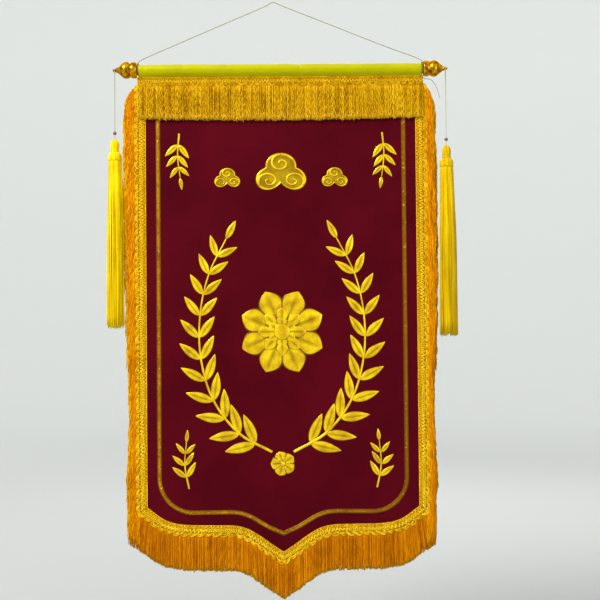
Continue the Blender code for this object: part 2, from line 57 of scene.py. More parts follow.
bpy.context.scene.view_settings.view_transform = "Standard"


# Hanging cord, with its ties and its free end. A limp pale cord of three twisted plies is tied round the
# rod's ends, between the satin and the finials, and lies over the nail.
MIDDLE_X = 0.0165
ROD_Z = -0.163
CORD = 0.0020
TIE_X = 0.3450
TIE_RADIUS = 0.01255
TOUCH = 0.0003
CORD_LAY = 0.0065
SIDES = {"left": -1, "right": 1}


def smooth_route(route, per_span):
    """Points on a smooth curve through the route's own, evenly parted by the root of their distance."""
    points = [Vector(point) for point in route]
    points = [2 * points[0] - points[1], *points, 2 * points[-1] - points[-2]]
    curve = []
    for a, b, c, d in zip(points, points[1:], points[2:], points[3:]):
        first = math.sqrt((b - a).length)
        second = first + math.sqrt((c - b).length)
        third = second + math.sqrt((d - c).length)
        for step in range(per_span):
            share = step / per_span
            t = first + (second - first) * share
            ab = a.lerp(b, t / first)
            bc = b.lerp(c, share)
            cd = c.lerp(d, (t - second) / (third - second))
            early = ab.lerp(bc, t / second)
            late = bc.lerp(cd, (t - first) / (third - first))
            curve.append(early.lerp(late, share))
    return np.array([*curve, points[-2]])


def lengths_along(lines):
    """The distance of each point from its line's start, for lines[strand, step, xyz]."""
    steps = np.linalg.norm(np.diff(lines, axis=1), axis=2)
    return np.concatenate([np.zeros((len(lines), 1)), np.cumsum(steps, axis=1)], axis=1)


def evenly(line, step):
    """The same line, stepped off anew at even distances."""
    far = lengths_along(line[None])[0]
    places = np.linspace(0.0, far[-1], max(2, round(far[-1] / step) + 1))
    return np.stack([np.interp(places, far, line[:, axis]) for axis in range(3)], axis=1)


def across_and_over(lines, over):
    """For each point of the lines, a direction across it, and one near the direction over."""
    along = np.gradient(lines, axis=1)
    along /= np.linalg.norm(along, axis=2, keepdims=True)
    across = np.cross(along, np.array(over, float))
    across /= np.linalg.norm(across, axis=2, keepdims=True)
    return across, np.cross(across, along)


def yarns(lines, wide, deep, sides=4, over=(0, 1, 0)):
    """Tubes along lines[strand, step, xyz], with half their breadth and depth at each step.

    Their yarn coordinates are the strand's number plus the share of the way round it, and the distance
    along it in metres, so that a material can lay plies and give each strand its own shade.
    """
    count, steps, _ = lines.shape
    side, front = across_and_over(lines, over)
    turn = 2 * np.pi * np.arange(sides) / sides - (np.pi / 2 if sides == 3 else 0.0)
    wide = np.broadcast_to(wide, (count, steps))[:, :, None, None]
    deep = np.broadcast_to(deep, (count, steps))[:, :, None, None]
    ring = wide * np.cos(turn)[:, None] * side[:, :, None] + deep * np.sin(turn)[:, None] * front[:, :, None]
    points = (lines[:, :, None] + ring).reshape(-1, 3)
    strand, step, at = np.meshgrid(np.arange(count), np.arange(steps - 1), np.arange(sides), indexing="ij")
    here = (strand * steps + step) * sides
    after = (at + 1) % sides
    faces = np.stack([here + at, here + sides + at, here + sides + after, here + after], axis=-1)
    far = lengths_along(lines)
    low, high = far[strand, step], far[strand, step + 1]
    left, right = strand + at / sides, strand + (at + 1) / sides
    coordinates = np.stack([left, low, left, high, right, high, right, low], axis=-1)
    start = np.arange(count)[:, None] * steps * sides + np.arange(sides)
    end = (start + (steps - 1) * sides)[:, ::-1]
    caps = np.concatenate([start, end])
    cap_at = np.tile(np.arange(count) + 0.5, 2)
    cap_far = np.concatenate([far[:, 0], far[:, -1]])
    cap_coordinates = np.tile(np.stack([cap_at, cap_far], axis=1), (1, sides))
    return (
        points,
        [*faces.reshape(-1, 4).tolist(), *caps.tolist()],
        np.concatenate([coordinates.ravel(), cap_coordinates.ravel()]),
    )


def joined(*parts):
    """One set of points, faces and yarn coordinates from several, each with strand numbers of its own."""
    points, faces, coordinates = [], [], []
    start, strand = 0, 0
    for part_points, part_faces, part_coordinates in parts:
        points.append(part_points)
        faces += [[corner + start for corner in face] for face in part_faces]
        moved = part_coordinates.reshape(-1, 2) + (strand, 0)
        coordinates.append(moved.ravel())
        start += len(part_points)
        strand = math.ceil(moved[:, 0].max()) + 1
    return np.concatenate(points), faces, np.concatenate(coordinates)


def add_mesh(name, points, faces, coordinates, material):
    """A smooth mesh in the scene, with yarn coordinates where it needs them."""
    mesh = bpy.data.meshes.new(name)
    mesh.from_pydata(np.asarray(points).tolist(), [], faces)
    if coordinates is not None:
        mesh.uv_layers.new(name="yarn").data.foreach_set("uv", np.asarray(coordinates, np.float32))
    mesh.materials.append(material)
    mesh.shade_smooth()
    made = bpy.data.objects.new(name, mesh)
    bpy.context.scene.collection.objects.link(made)
    return made


def add_piece(name, points, faces, coordinates, material, slot, *replaced):
    """A mesh that rides with the pennant, takes the given finish and stands for solids; its slot is not used.
    """
    piece = add_mesh(name, points, faces, coordinates, material)
    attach(piece, "root")
    if replaced:
        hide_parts(*replaced)
    return piece


def new_finish(name, **settings):
    """A material whose shader has these plain settings."""
    material = bpy.data.materials.new(name)
    material.use_nodes = True
    shader = material.node_tree.nodes["Principled BSDF"]
    for socket, value in settings.items():
        shader.inputs[socket.replace("_", " ")].default_value = value
    return material


def add_node(material, kind, inputs, **options):
    """A node whose inputs are other nodes' outputs or plain values."""
    node = material.node_tree.nodes.new(kind)
    for option, value in options.items():
        setattr(node, option, value)
    for socket, value in inputs.items():
        if isinstance(value, bpy.types.NodeSocket):
            material.node_tree.links.new(value, node.inputs[socket])
        else:
            node.inputs[socket].default_value = value
    return node


def math_node(material, operation, *values):
    return add_node(material, "ShaderNodeMath", dict(enumerate(values)), operation=operation).outputs[0]


def blend_colours(material, share, first, second):
    """A colour between two, each of which is a node's output or plain red, green and blue."""
    first, second = ((*colour, 1.0) if isinstance(colour, tuple) else colour for colour in (first, second))
    mix = add_node(material, "ShaderNodeMix", {"Factor": share, 6: first, 7: second}, data_type="RGBA")
    return mix.outputs[2]


def place_on_object(material, stretch=None):
    """Where a point lies on its object, stretched along each axis."""
    place = add_node(material, "ShaderNodeTexCoord", {}).outputs["Object"]
    if stretch is not None:
        place = add_node(material, "ShaderNodeMapping", {"Vector": place, "Scale": stretch}).outputs[0]
    return place


def noise_value(material, scale, detail=2.0, place=None):
    """Noise at a place on the object, unless another place is given."""
    if place is None:
        place = place_on_object(material)
    inputs = {"Vector": place, "Scale": scale, "Detail": detail}
    return add_node(material, "ShaderNodeTexNoise", inputs).outputs["Fac"]


def ramp_value(material, value, low, high, to_low=0.0, to_high=1.0):
    inputs = {"Value": value, "From Min": low, "From Max": high, "To Min": to_low, "To Max": to_high}
    return add_node(material, "ShaderNodeMapRange", inputs).outputs["Result"]


def weigh(material, first, first_share, second, second_share):
    """The sum of two values, each times its share."""
    weighed = math_node(material, "MULTIPLY", second, second_share)
    return math_node(material, "MULTIPLY_ADD", first, first_share, weighed)


def feed(material, socket, output):
    """Lets a node's output drive one of the shader's inputs."""
    shader = material.node_tree.nodes["Principled BSDF"]
    material.node_tree.links.new(output, shader.inputs[socket])


def raise_bump(material, height, distance, strength=1.0):
    inputs = {"Height": height, "Distance": distance, "Strength": strength}
    feed(material, "Normal", add_node(material, "ShaderNodeBump", inputs).outputs["Normal"])


def yarn_coordinates(material):
    """The two values that a mesh gives each corner: its strand and way round, and how far along it is."""
    place = add_node(material, "ShaderNodeUVMap", {}, uv_map="yarn").outputs["UV"]
    parts = add_node(material, "ShaderNodeSeparateXYZ", {"Vector": place}).outputs
    return parts["X"], parts["Y"]


def twisted_yarn(name, deep, middle, bright, lay, roughness, flecks=22.0, tip=None, tip_at=None):
    """Yarn of two plies that wind round it once in every lay, each strand in a shade of its own.

    flecks is how many times in a metre a strand's shade changes, and tip is the colour that it turns to
    between two distances from its root.
    """
    material = new_finish(
        name,
        Roughness=roughness,
        Specular_IOR_Level=0.30,
        Specular_Tint=(*bright, 1.0),
        Sheen_Weight=0.10,
        Sheen_Roughness=0.4,
        Sheen_Tint=(*bright, 1.0),
    )
    round_it, along = yarn_coordinates(material)
    strand = math_node(material, "FLOOR", round_it)
    own = add_node(material, "ShaderNodeTexWhiteNoise", {"W": strand}, noise_dimensions="1D")
    wound = math_node(material, "MULTIPLY_ADD", along, 1 / lay, round_it)
    ply = math_node(material, "SINE", math_node(material, "MULTIPLY", wound, 4 * math.pi))
    streak_place = add_node(material, "ShaderNodeCombineXYZ", {"X": strand, "Y": along}).outputs[0]
    inputs = {"Vector": streak_place, "Scale": (0.31, flecks, 1.0)}
    streaks = noise_value(material, 1.0, 3.0, add_node(material, "ShaderNodeMapping", inputs).outputs[0])
    patches = noise_value(material, 1.0, 2.0, place_on_object(material, (90, 90, 19)))
    shade = weigh(material, own.outputs["Value"], 0.30, streaks, 0.38)
    shade = math_node(material, "MULTIPLY_ADD", patches, 0.34, shade)
    shade = math_node(material, "MULTIPLY_ADD", ply, 0.08, shade)
    ramp = add_node(material, "ShaderNodeValToRGB", {"Fac": shade})
    stops = ramp.color_ramp.elements
    stops[0].position, stops[0].color = 0.30, (*deep, 1.0)
    stops[1].position, stops[1].color = 0.74, (*bright, 1.0)
    stops.new(0.50).color = (*middle, 1.0)
    colour = ramp.outputs["Color"]
    if tip is not None:
        colour = blend_colours(material, ramp_value(material, along, *tip_at, 0.0, 0.8), colour, tip)
    feed(material, "Base Color", colour)
    raise_bump(material, ply, 0.0002, 0.7)
    return material


def twisted_cord(name, line, diameter, plies, lay, material, node, over=(0, 1, 0)):
    """Round plies wound about a line, so that together they are as thick as the cord."""
    line = evenly(line, lay / 8)
    side, front = across_and_over(line[None], over)
    far = lengths_along(line[None])[0]
    # For a count of plies: how far they lie off the line, and their radius, as shares of the cord's
    shares = {2: (0.50, 0.50), 3: (0.536, 0.464)}[plies]
    off, ply_radius = (share * diameter / 2 for share in shares)
    turns = 2 * np.pi * (far[None] / lay + np.arange(plies)[:, None] / plies)
    wound = line + off * (np.cos(turns)[..., None] * side + np.sin(turns)[..., None] * front)
    piece = add_piece(name, *yarns(wound, ply_radius, ply_radius, 5, over), material, "cord", node)
    return piece, line


pale_cord = twisted_yarn(
    "pale twisted cord", (0.13, 0.13, 0.035), (0.26, 0.27, 0.10), (0.44, 0.44, 0.23), 0.004, 0.62
)

left, right = MIDDLE_X - TIE_X, MIDDLE_X + TIE_X
cord_end = ROD_Z + TIE_RADIUS + CORD / 2 + TOUCH
over_nail = CORD / 2
hanging_route = [
    (left, 0, cord_end), (left + 0.0004, 0, cord_end + 0.0040), (left + 0.0045, 0, cord_end + 0.0085),
    (left + 0.0900, 0, -0.1025), (left + 0.2100, 0, -0.0510), (-0.0150, 0, -0.0066),
    (-0.0060, 0, over_nail - 0.0022), (0.0000, 0, over_nail), (0.0070, 0, over_nail - 0.0016),
    (0.0180, 0, -0.0060), (0.1200, 0, -0.0470), (right - 0.0900, 0, -0.1080),
    (right - 0.0045, 0, cord_end + 0.0080), (right - 0.0004, 0, cord_end + 0.0040), (right, 0, cord_end),
]
hanging_cord, hanging_line = twisted_cord(
    "twisted_hanging_cord", smooth_route(hanging_route, 8), CORD, 3, CORD_LAY, pale_cord, "hanging_cord"
)

turn = np.linspace(0, 2 * np.pi, 73)
knot_turn = np.linspace(0, 4 * np.pi, 60)
for word, side in SIDES.items():
    x = MIDDLE_X + side * TIE_X
    ring = np.stack([0 * turn + x, TIE_RADIUS * np.sin(turn), ROD_Z + TIE_RADIUS * np.cos(turn)], axis=1)
    twisted_cord(f"tie_round_rod_{word}", ring, CORD, 3, CORD_LAY, pale_cord, f"tie_{word}", (1, 0, 0))
    knot_x = x + 0.0014 * np.sin(1.5 * knot_turn)
    knot_y = -0.0016 * np.cos(knot_turn)
    knot_z = cord_end + 0.0012 + 0.0014 * np.sin(knot_turn)
    knot_line = evenly(np.stack([knot_x, knot_y, knot_z], axis=1), 0.0006)[None]
    add_piece(f"tie_knot_{word}", *yarns(knot_line, 0.0006, 0.0006, 6, (0.2, 0.3, 1)), pale_cord, "cord")

STRING = 0.0016
below_rod = ROD_Z - TIE_RADIUS - CORD / 2 - TOUCH
tail_route = [
    (right, 0, below_rod),
    (right + 0.0003, 0, below_rod - 0.0055),
    (right + 0.0040, 0, below_rod - 0.0100),
    (right + 0.0120, 0, below_rod - 0.0115),
    (right + 0.0220, 0.001, below_rod - 0.0140),
    (right + 0.0320, 0.003, below_rod - 0.0260),
    (right + 0.0385, 0.004, below_rod - 0.0410),
    (right + 0.0430, 0.004, below_rod - 0.0580),
]
cord_tail, tail_line = twisted_cord(
    "frayed_cord_tail", smooth_route(tail_route, 6), STRING, 3, 0.0055, pale_cord, "cord_tail"
)


# Tassel strings. One thin string runs up through each bead, over the groove near the finial's tip, and
# down through the bead again into the tassel.
TASSEL_X = 0.4018
STRING_GROOVE_RADIUS = 0.0028
BEAD_OVER_TASSEL = 0.0150
# Tassels: side, height of the top, length and lean
TASSELS = {"left": (-1, -0.331, 0.452, 0.0), "right": (1, -0.351, 0.457, 0.004)}

thin_string = twisted_yarn(
    "thin pale string", (0.28, 0.29, 0.12), (0.46, 0.49, 0.25), (0.66, 0.67, 0.42), 0.003, 0.6
)
over = STRING_GROOVE_RADIUS + TOUCH + STRING / 2
for word, (side, tassel_top, _, _) in TASSELS.items():
    x = MIDDLE_X + side * TASSEL_X
    front_half = [
        (x, -0.0010, tassel_top + TOUCH),
        (x, -0.0010, tassel_top + BEAD_OVER_TASSEL + 0.008),
        (x, -0.0030, ROD_Z - 0.050),
        (x, -over, ROD_Z - 0.0020),
        (x, -0.72 * over, ROD_Z + 0.72 * over),
    ]
    back_half = [(x, -y, z) for x, y, z in reversed(front_half)]
    string_line = smooth_route([*front_half, (x, 0, ROD_Z + over), *back_half], 8)
    node = f"tassel_string_{word}"
    made = twisted_cord(f"looped_string_{word}", string_line, STRING, 2, 0.0042, thin_string, node, (1, 0, 0))


# Rod. A plain sanded wooden dowel, threaded through the sleeve. The satin hides it, but for the few
# millimetres at each end that the ties go round.


def colour_between(material, share, first, second):
    """Gives a finish a colour between two, by a share that may change from place to place."""
    feed(material, "Base Color", blend_colours(material, share, first, second))


wood = new_finish("sanded dowel wood", Roughness=0.55)
grain = noise_value(wood, 2.2, 5.0, place_on_object(wood, (14, 160, 160)))
colour_between(wood, grain, (0.30, 0.18, 0.08), (0.50, 0.34, 0.18))
raise_bump(wood, grain, 0.0003, 0.5)
nodes["rod"].data.materials.clear()
nodes["rod"].data.materials.append(wood)


# Finials. Turned plastic caps with orange-gold plating, pushed over the rod's ends: a rolled collar, a
# pear-shaped body and a small knob. Dark patches laid at random over the plating are painted reflection
# of dark surroundings, and are rougher than the rest.
FINIAL_BASE = 0.3468
FINIAL_SIDES = 56
# The outline: distance from the finial's inner face, and radius there
FINIAL_OUTLINE = [
    (0.0600, 0.0002), (0.0599, 0.0012), (0.0590, 0.0028), (0.0570, 0.0034), (0.0560, 0.0026),
    (0.0545, 0.0025), (0.0520, 0.0048), (0.0500, 0.0062), (0.0494, 0.0058), (0.0460, 0.0078),
    (0.0410, 0.0115), (0.0360, 0.0165), (0.0300, 0.0195), (0.0240, 0.0197), (0.0196, 0.0184),
    (0.0182, 0.0170), (0.0172, 0.0160), (0.0162, 0.0161), (0.0152, 0.0176), (0.0120, 0.0190),
    (0.0070, 0.0192), (0.0030, 0.0186), (0.0008, 0.0172), (0.0000, 0.0160), (0.0000, 0.0122),
]


def ring_faces(rings, around, looped=False):
    """Quads from each ring of points to the next, and from the last to the first where it is looped."""
    faces = []
    for ring in range(rings if looped else rings - 1):
        low, high = around * ring, around * ((ring + 1) % rings)
        for at in range(around):
            after = (at + 1) % around
            faces.append([low + at, low + after, high + after, high + at])
    return faces


def turned(outline, turn):
    """A turned shape's points, ring by ring, from its radii and heights and the angles round its axis."""
    radius, height = outline[:, :1], outline[:, 1:]
    rings = [radius * np.cos(turn), radius * np.sin(turn), height + 0 * turn]
    return np.stack(rings, axis=-1).reshape(-1, 3)


plating = new_finish("orange gold plating", Metallic=0.95, Specular_Tint=(1.0, 0.62, 0.10, 1.0))
# Painted reflection: dark rough patches at random stand in for dark surroundings mirrored in the plating.
painted_reflection_patches = noise_value(plating, 95.0, 4.0)
colour_between(plating, ramp_value(plating, painted_reflection_patches, 0.42, 0.60), (0.74, 0.37, 0.010), (0.22, 0.10, 0.003))
feed(plating, "Roughness", ramp_value(plating, painted_reflection_patches, 0.35, 0.7, 0.16, 0.34))
raise_bump(plating, noise_value(plating, 420.0), 0.0002, 0.12)

profile = smooth_route([(radius, out, 0) for out, radius in FINIAL_OUTLINE], 3)[:, :2]
finial = turned(profile + (0, FINIAL_BASE), 2 * np.pi * np.arange(FINIAL_SIDES) / FINIAL_SIDES)
finial_faces = [*ring_faces(len(profile), FINIAL_SIDES), list(reversed(range(FINIAL_SIDES)))]
for word, side in SIDES.items():
    # Its axis, which is upright when it is turned, lies along the rod
    points = finial[:, ::-1] * (side, side, 1) + (MIDDLE_X, 0, ROD_Z)
    add_piece(f"turned_finial_{word}", points, finial_faces, None, plating, "plating", f"finial_{word}")


# Field. One piece of dark red velvet, straight at the sides and pointed below, its edges running on under
# the gimp. It hangs almost flat, with long soft folds.
CLOTH_HALF = 0.345
CLOTH_TOP = -0.186
# Folds: half waves across the cloth, start and depth
FOLDS = [(3.1, 0.35, 0.0042), (5.2, 0.80, 0.0014)]
FOLDS_FULL_Z = -1.30
# The red field's lower edge: distance from the middle, and height
LOWER_EDGE = [
    (0.000, -1.3300), (0.031, -1.3090), (0.058, -1.2895), (0.087, -1.2730), (0.116, -1.2650),
    (0.172, -1.2630), (0.242, -1.2610), (0.283, -1.2510), (0.327, -1.2210), (0.352, -1.2040),
]
GIMP_WIDE = 0.025


def cloth_depth(x, z):
    """How far the cloth's middle lies behind the rod's axis."""
    across = (x - MIDDLE_X) / CLOTH_HALF
    down = np.clip((CLOTH_TOP - z) / (CLOTH_TOP - FOLDS_FULL_Z), 0.0, 1.1)
    depth = 0.0
    for halves, start, height in FOLDS:
        depth = depth + height * np.sin(np.pi * (halves * across / 2 + start))
    return depth * down * down * (1.6 - 0.6 * down)


def on_cloth(across, z, before):
    """Points at distances from the cloth's middle line, standing before the cloth."""
    across, z, before = np.broadcast_arrays(across, z, before)
    x = MIDDLE_X + across
    return np.stack([x, cloth_depth(x, z) - before, z], axis=-1)


def read_row(rows, across):
    """The height at distances from the middle, on a smooth curve through the rows."""
    places, heights = np.array(rows).T
    outer = np.concatenate([places[:1], places, places[-1:]])
    around = np.concatenate([heights[:1], heights, heights[-1:]])
    slopes = (around[2:] - around[:-2]) / (outer[2:] - outer[:-2])
    index = np.clip(np.searchsorted(places, across, side="right") - 1, 0, len(rows) - 2)
    span = places[index + 1] - places[index]
    rise = heights[index + 1] - heights[index]
    t = (across - places[index]) / span
    bend = slopes[index] * span - rise
    unbend = rise - slopes[index + 1] * span
    return heights[index] + rise * t + t * (1 - t) * (bend * (1 - t) + unbend * t)


def lower_outline(across, width):
    """The height of a line that runs a width outside the red field's lower edge."""
    across = np.minimum(np.abs(across), LOWER_EDGE[-1][0] - 0.001)
    slope = (read_row(LOWER_EDGE, across + 0.001) - read_row(LOWER_EDGE, across)) / 0.001
    return read_row(LOWER_EDGE, across) - width * np.hypot(1.0, slope)


def grid_faces(columns, rows):
    """Quads of a sheet whose points run row by row."""
    column, row = np.meshgrid(np.arange(columns - 1), np.arange(rows - 1))
    corner = (row * columns + column).ravel()
    return np.stack([corner, corner + columns, corner + columns + 1, corner + 1], axis=1).tolist()


def soft_ripple(x, z, lengths, seed):
    """A smooth uneven height between -1 and 1, from waves of these lengths."""
    phases = np.random.default_rng(seed).uniform(0, 2 * np.pi, (len(lengths), 3))
    total = 0.0
    for length, (a, b, c) in zip(lengths, phases):
        leaning = np.sin(2 * np.pi * (x + np.cos(a) * z) / length + b)
        total = total + leaning * np.sin(2 * np.pi * z / (1.7 * length) + c)
    return total / len(lengths)


velvet = new_finish(
    "dark red velvet",
    Roughness=0.88,
    Specular_IOR_Level=0.03,
    Sheen_Weight=0.10,
    Sheen_Roughness=0.38,
    Sheen_Tint=(0.80, 0.02, 0.05, 1.0),
)
brushed = ramp_value(velvet, noise_value(velvet, 5.0, 3.0), 0.35, 0.65)
pile = noise_value(velvet, 900.0, 1.0)
nap = weigh(velvet, pile, 0.35, brushed, 0.65)
colour_between(velvet, nap, (0.050, 0.0008, 0.0040), (0.084, 0.0016, 0.0062))
raise_bump(velvet, pile, 0.0006, 0.5)

velvet_back = new_finish("velvet back weave", Roughness=0.92, Specular_IOR_Level=0.2)
weave_inputs = {"Vector": place_on_object(velvet_back, (1, 0, 1)), "Scale": 420.0, "Mortar Size": 0.03}
back_weave = add_node(velvet_back, "ShaderNodeTexBrick", weave_inputs).outputs["Fac"]
back_tone = noise_value(velvet_back, 60.0, 3.0)
colour_between(velvet_back, back_tone, (0.105, 0.010, 0.014), (0.16, 0.018, 0.022))
raise_bump(velvet_back, back_weave, 0.0003, 0.4)

columns, rows = 113, 129
share_across, share_down = np.meshgrid(np.linspace(-1, 1, columns), np.linspace(0, 1, rows))
field_across = CLOTH_HALF * share_across
field_low = lower_outline(field_across, 0.75 * GIMP_WIDE)
field_z = CLOTH_TOP + (field_low - CLOTH_TOP) * share_down
ripple = 0.0011 * soft_ripple(field_across, field_z, (0.31, 0.19, 0.11, 0.07), 5)
free = np.clip(share_down / 0.25, 0, 1) * np.clip((1 - np.abs(share_across)) / 0.15, 0, 1)
field_points = on_cloth(field_across, field_z, ripple * free)
velvet_field = add_piece(
    "velvet_field", field_points.reshape(-1, 3), grid_faces(columns, rows), None, velvet, "velvet", "field"
)
velvet_field.data.materials.append(velvet_back)
cut = velvet_field.modifiers.new("Pile and backing", "SOLIDIFY")
cut.thickness = 0.0018
cut.offset = 0.0
cut.material_offset = 1


# Sleeve. A strip of golden-yellow satin taken round the rod, its two edges sewn to both faces of the
# field's head. It puffs where it is slack, and creases at its ends and where it is drawn in.
SLEEVE_HALF = 0.3432
SLEEVE_RADIUS = 0.01235
SLEEVE_DRAWN_IN = 0.046
FLANGE_TOP = -0.1812
FLANGE_END = -0.1992
# Creases: distance from the middle, lean, breadth and depth
CREASES = [
    (0.046, 0.10, 0.0032, 0.0021),
    (0.052, -0.25, 0.0022, 0.0006),
    (-0.128, 0.30, 0.0035, 0.0005),
    (-0.236, -0.20, 0.0040, 0.0006),
    (0.171, 0.25, 0.0036, 0.0005),
    (0.318, 0.45, 0.0026, 0.0008),
    (0.331, 0.10, 0.0020, 0.0009),
    (-0.329, -0.30, 0.0026, 0.0008),
]


def sleeve_fullness(across):
    waves = 0.5 + 0.3 * np.sin(21 * across + 0.6) + 0.2 * np.sin(47 * across)
    pinch = np.exp(-(((across - SLEEVE_DRAWN_IN) / 0.02) ** 2))
    ends = 1 - (np.abs(across) / SLEEVE_HALF) ** 6
    return 0.0016 * waves * ends * (1 - pinch)


def sleeve_section(fullness):
    """Half the sleeve's section, from over the rod to its sewn edge."""
    points = []
    for turn in (90, 72, 55, 38, 20, 4, -12):
        angle = math.radians(turn)
        radius = SLEEVE_RADIUS + fullness * (0.6 + 0.4 * math.cos(angle))
        points.append((radius * math.cos(angle), ROD_Z + radius * math.sin(angle), 0))
    points += [(0.0094 + fullness, -0.1725, 0), (0.0038, -0.1788, 0), (0.0019, FLANGE_TOP, 0)]
    points += [(0.0019, FLANGE_TOP - 0.009, 0), (0.0019, FLANGE_END, 0)]
    return smooth_route(points, 3)[:, :2]


satin = new_finish(
    "golden yellow satin",
    Roughness=0.38,
    Specular_IOR_Level=0.35,
    Specular_Tint=(1.0, 0.95, 0.10, 1.0),
    Anisotropic=0.4,
    Sheen_Weight=0.08,
    Sheen_Roughness=0.3,
    Sheen_Tint=(1.0, 0.90, 0.05, 1.0),
)
satin_threads = noise_value(satin, 1.0, 2.0, place_on_object(satin, (60, 1500, 1500)))
satin_tone = weigh(satin, satin_threads, 0.45, noise_value(satin, 18.0), 0.6)
colour_between(satin, satin_tone, (0.285, 0.255, 0.0005), (0.455, 0.44, 0.0010))
raise_bump(satin, satin_threads, 0.00012, 0.5)

columns = 221
sleeve_across = np.linspace(-SLEEVE_HALF, SLEEVE_HALF, columns)
halves = np.array([sleeve_section(fullness) for fullness in sleeve_fullness(sleeve_across)])
section = np.concatenate([halves[:, ::-1] * (1, 1), halves[:, 1:] * (-1, 1)], axis=1)
spans = section.shape[1]
down_share = np.abs(np.linspace(-1, 1, spans))
pushed = np.zeros((columns, spans))
for place, lean, breadth, depth in CREASES:
    off = sleeve_across[:, None] - place - lean * 0.02 * (down_share - 0.5)
    pushed -= depth * np.exp(-((off / breadth) ** 2)) * np.clip(2.2 * (0.78 - down_share), 0, 1)
ripple_place = 0.05 * np.linspace(-1, 1, spans)[None]
pushed += 0.0003 * soft_ripple(sleeve_across[:, None], ripple_place, (0.09, 0.05, 0.033), 3)
centre = np.array([0.0, ROD_Z - 0.004])
outward = section - centre
outward /= np.linalg.norm(outward, axis=2, keepdims=True)
section = section + outward * (pushed * (down_share < 0.8))[..., None]
sleeve_x = np.broadcast_to(MIDDLE_X + sleeve_across[:, None], section.shape[:2])
sleeve_points = np.stack([sleeve_x, -section[..., 0], section[..., 1]], axis=-1).transpose(1, 0, 2)
satin_sleeve = add_piece(
    "satin_sleeve", sleeve_points.reshape(-1, 3), grid_faces(columns, spans), None, satin, "satin", "sleeve"
)
cloth = satin_sleeve.modifiers.new("Cloth", "SOLIDIFY")
cloth.thickness = 0.0007
cloth.offset = 0.0


# Border line. A narrow line of gold foil pressed on the velvet inside its edges, rounded and rubbed in
# places, with light painted into it: a painted highlight along its middle, painted shade at its edges and
# towards the right, away from the light, and painted glints.
BORDER_HALF = 0.2975
BORDER_WIDE = 0.0115
BORDER_TOP = -0.2045
BORDER_CORNER = 0.082
BORDER_LOWER = [
    (0.000, -1.2855), (0.034, -1.2705), (0.057, -1.2570), (0.082, -1.2425),
    (0.112, -1.2335), (0.160, -1.2325), (0.2155, -1.2330),
]
# The foil's section: the share of its half breadth, its height and its share of gold over painted shade
FOIL_SECTION = [
    (-1.00, 0.0006, 0.0), (-0.90, 0.0013, 0.1), (-0.58, 0.0019, 0.45), (-0.20, 0.0022, 1.0),
    (0.20, 0.0022, 1.0), (0.58, 0.0019, 0.45), (0.90, 0.0013, 0.1), (1.00, 0.0006, 0.0),
]


def painted_shade_coordinates(faces, shares):
    """Coordinates whose second value is a corner's share of gold over dark brown, the dark being painted
    shade and, on the raised film, partly its brown edge.
    """
    corners = np.concatenate([np.asarray(face) for face in faces])
    return np.stack([np.full(len(corners), 0.5), np.asarray(shares).ravel()[corners]], axis=1).ravel()


foil = new_finish(
    "rubbed gold foil with painted light", Metallic=0.45, Specular_IOR_Level=0.3, Specular_Tint=(1.0, 0.6, 0.1, 1.0)
)
foil_grain = noise_value(foil, 260.0, 3.0)
foil_tone = weigh(foil, foil_grain, 0.5, noise_value(foil, 22.0, 3.0), 0.5)
foil_tone = ramp_value(foil, foil_tone, 0.40, 0.64)
foil_across = add_node(foil, "ShaderNodeSeparateXYZ", {"Vector": place_on_object(foil)}).outputs["X"]
# Painted shade: the foil darkens towards the right, on the side away from the light.
painted_shade_to_the_right = ramp_value(foil, foil_across, 0.05, 0.32, 1.0, 0.15)
foil_tone = math_node(foil, "MULTIPLY", foil_tone, painted_shade_to_the_right)
foil_gold = blend_colours(foil, foil_tone, (0.21, 0.070, 0.003), (0.54, 0.245, 0.008))
# Painted glints: bright specks blended into the gold.
painted_glints = ramp_value(foil, noise_value(foil, 190.0, 1.0), 0.66, 0.76)
foil_gold = blend_colours(foil, painted_glints, foil_gold, (0.80, 0.47, 0.06))
# Painted highlight and shade: gold along the foil's middle, dark brown at its edges.
colour_between(foil, yarn_coordinates(foil)[1], (0.09, 0.028, 0.001), foil_gold)
feed(foil, "Roughness", ramp_value(foil, foil_grain, 0.3, 0.7, 0.52, 0.26))
raise_bump(foil, foil_grain, 0.0006, 0.55)

turn_z = BORDER_LOWER[-1][1] + BORDER_CORNER
half_line = [(BORDER_HALF, z) for z in np.linspace(BORDER_TOP, turn_z, 90)[:-1]]
for angle in np.radians(np.linspace(0, 90, 19))[:-1]:
    across = BORDER_HALF - BORDER_CORNER * (1 - math.cos(angle))
    half_line.append((across, turn_z - BORDER_CORNER * math.sin(angle)))
for across in np.linspace(BORDER_LOWER[-1][0], 0, 31):
    half_line.append((across, float(read_row(BORDER_LOWER, across))))
path = np.array([(-across, z) for across, z in half_line] + half_line[-2::-1])
ahead = np.gradient(path, axis=0)
ahead /= np.linalg.norm(ahead, axis=1, keepdims=True)
leaving = np.concatenate([np.diff(path, axis=0), path[-1:] - path[-2:-1]])
leaving /= np.linalg.norm(leaving, axis=1, keepdims=True)
mitre = np.maximum((ahead * leaving).sum(axis=1), 0.5)[:, None]
aside = np.stack([-ahead[:, 1], ahead[:, 0]], axis=1) / mitre
points, gold_over_painted_shade = [], []
for breadth, height, gold in FOIL_SECTION:
    across, z = (path + aside * breadth * BORDER_WIDE / 2).T
    points.append(on_cloth(across, z, 0.0006 + height))
    gold_over_painted_shade += [gold] * len(path)
points, faces = np.concatenate(points), grid_faces(len(path), len(FOIL_SECTION))
coordinates = painted_shade_coordinates(faces, gold_over_painted_shade)
add_piece("foil_border_line", points, faces, coordinates, foil, "gold_film", "border_line")


# Raised gold ornaments. Puffed gold film on the velvet: a flower in a leaf wreath with a small flower at
# its foot, three clouds over it and a sprig in each corner.
ORNAMENT_FOOT = 0.0010
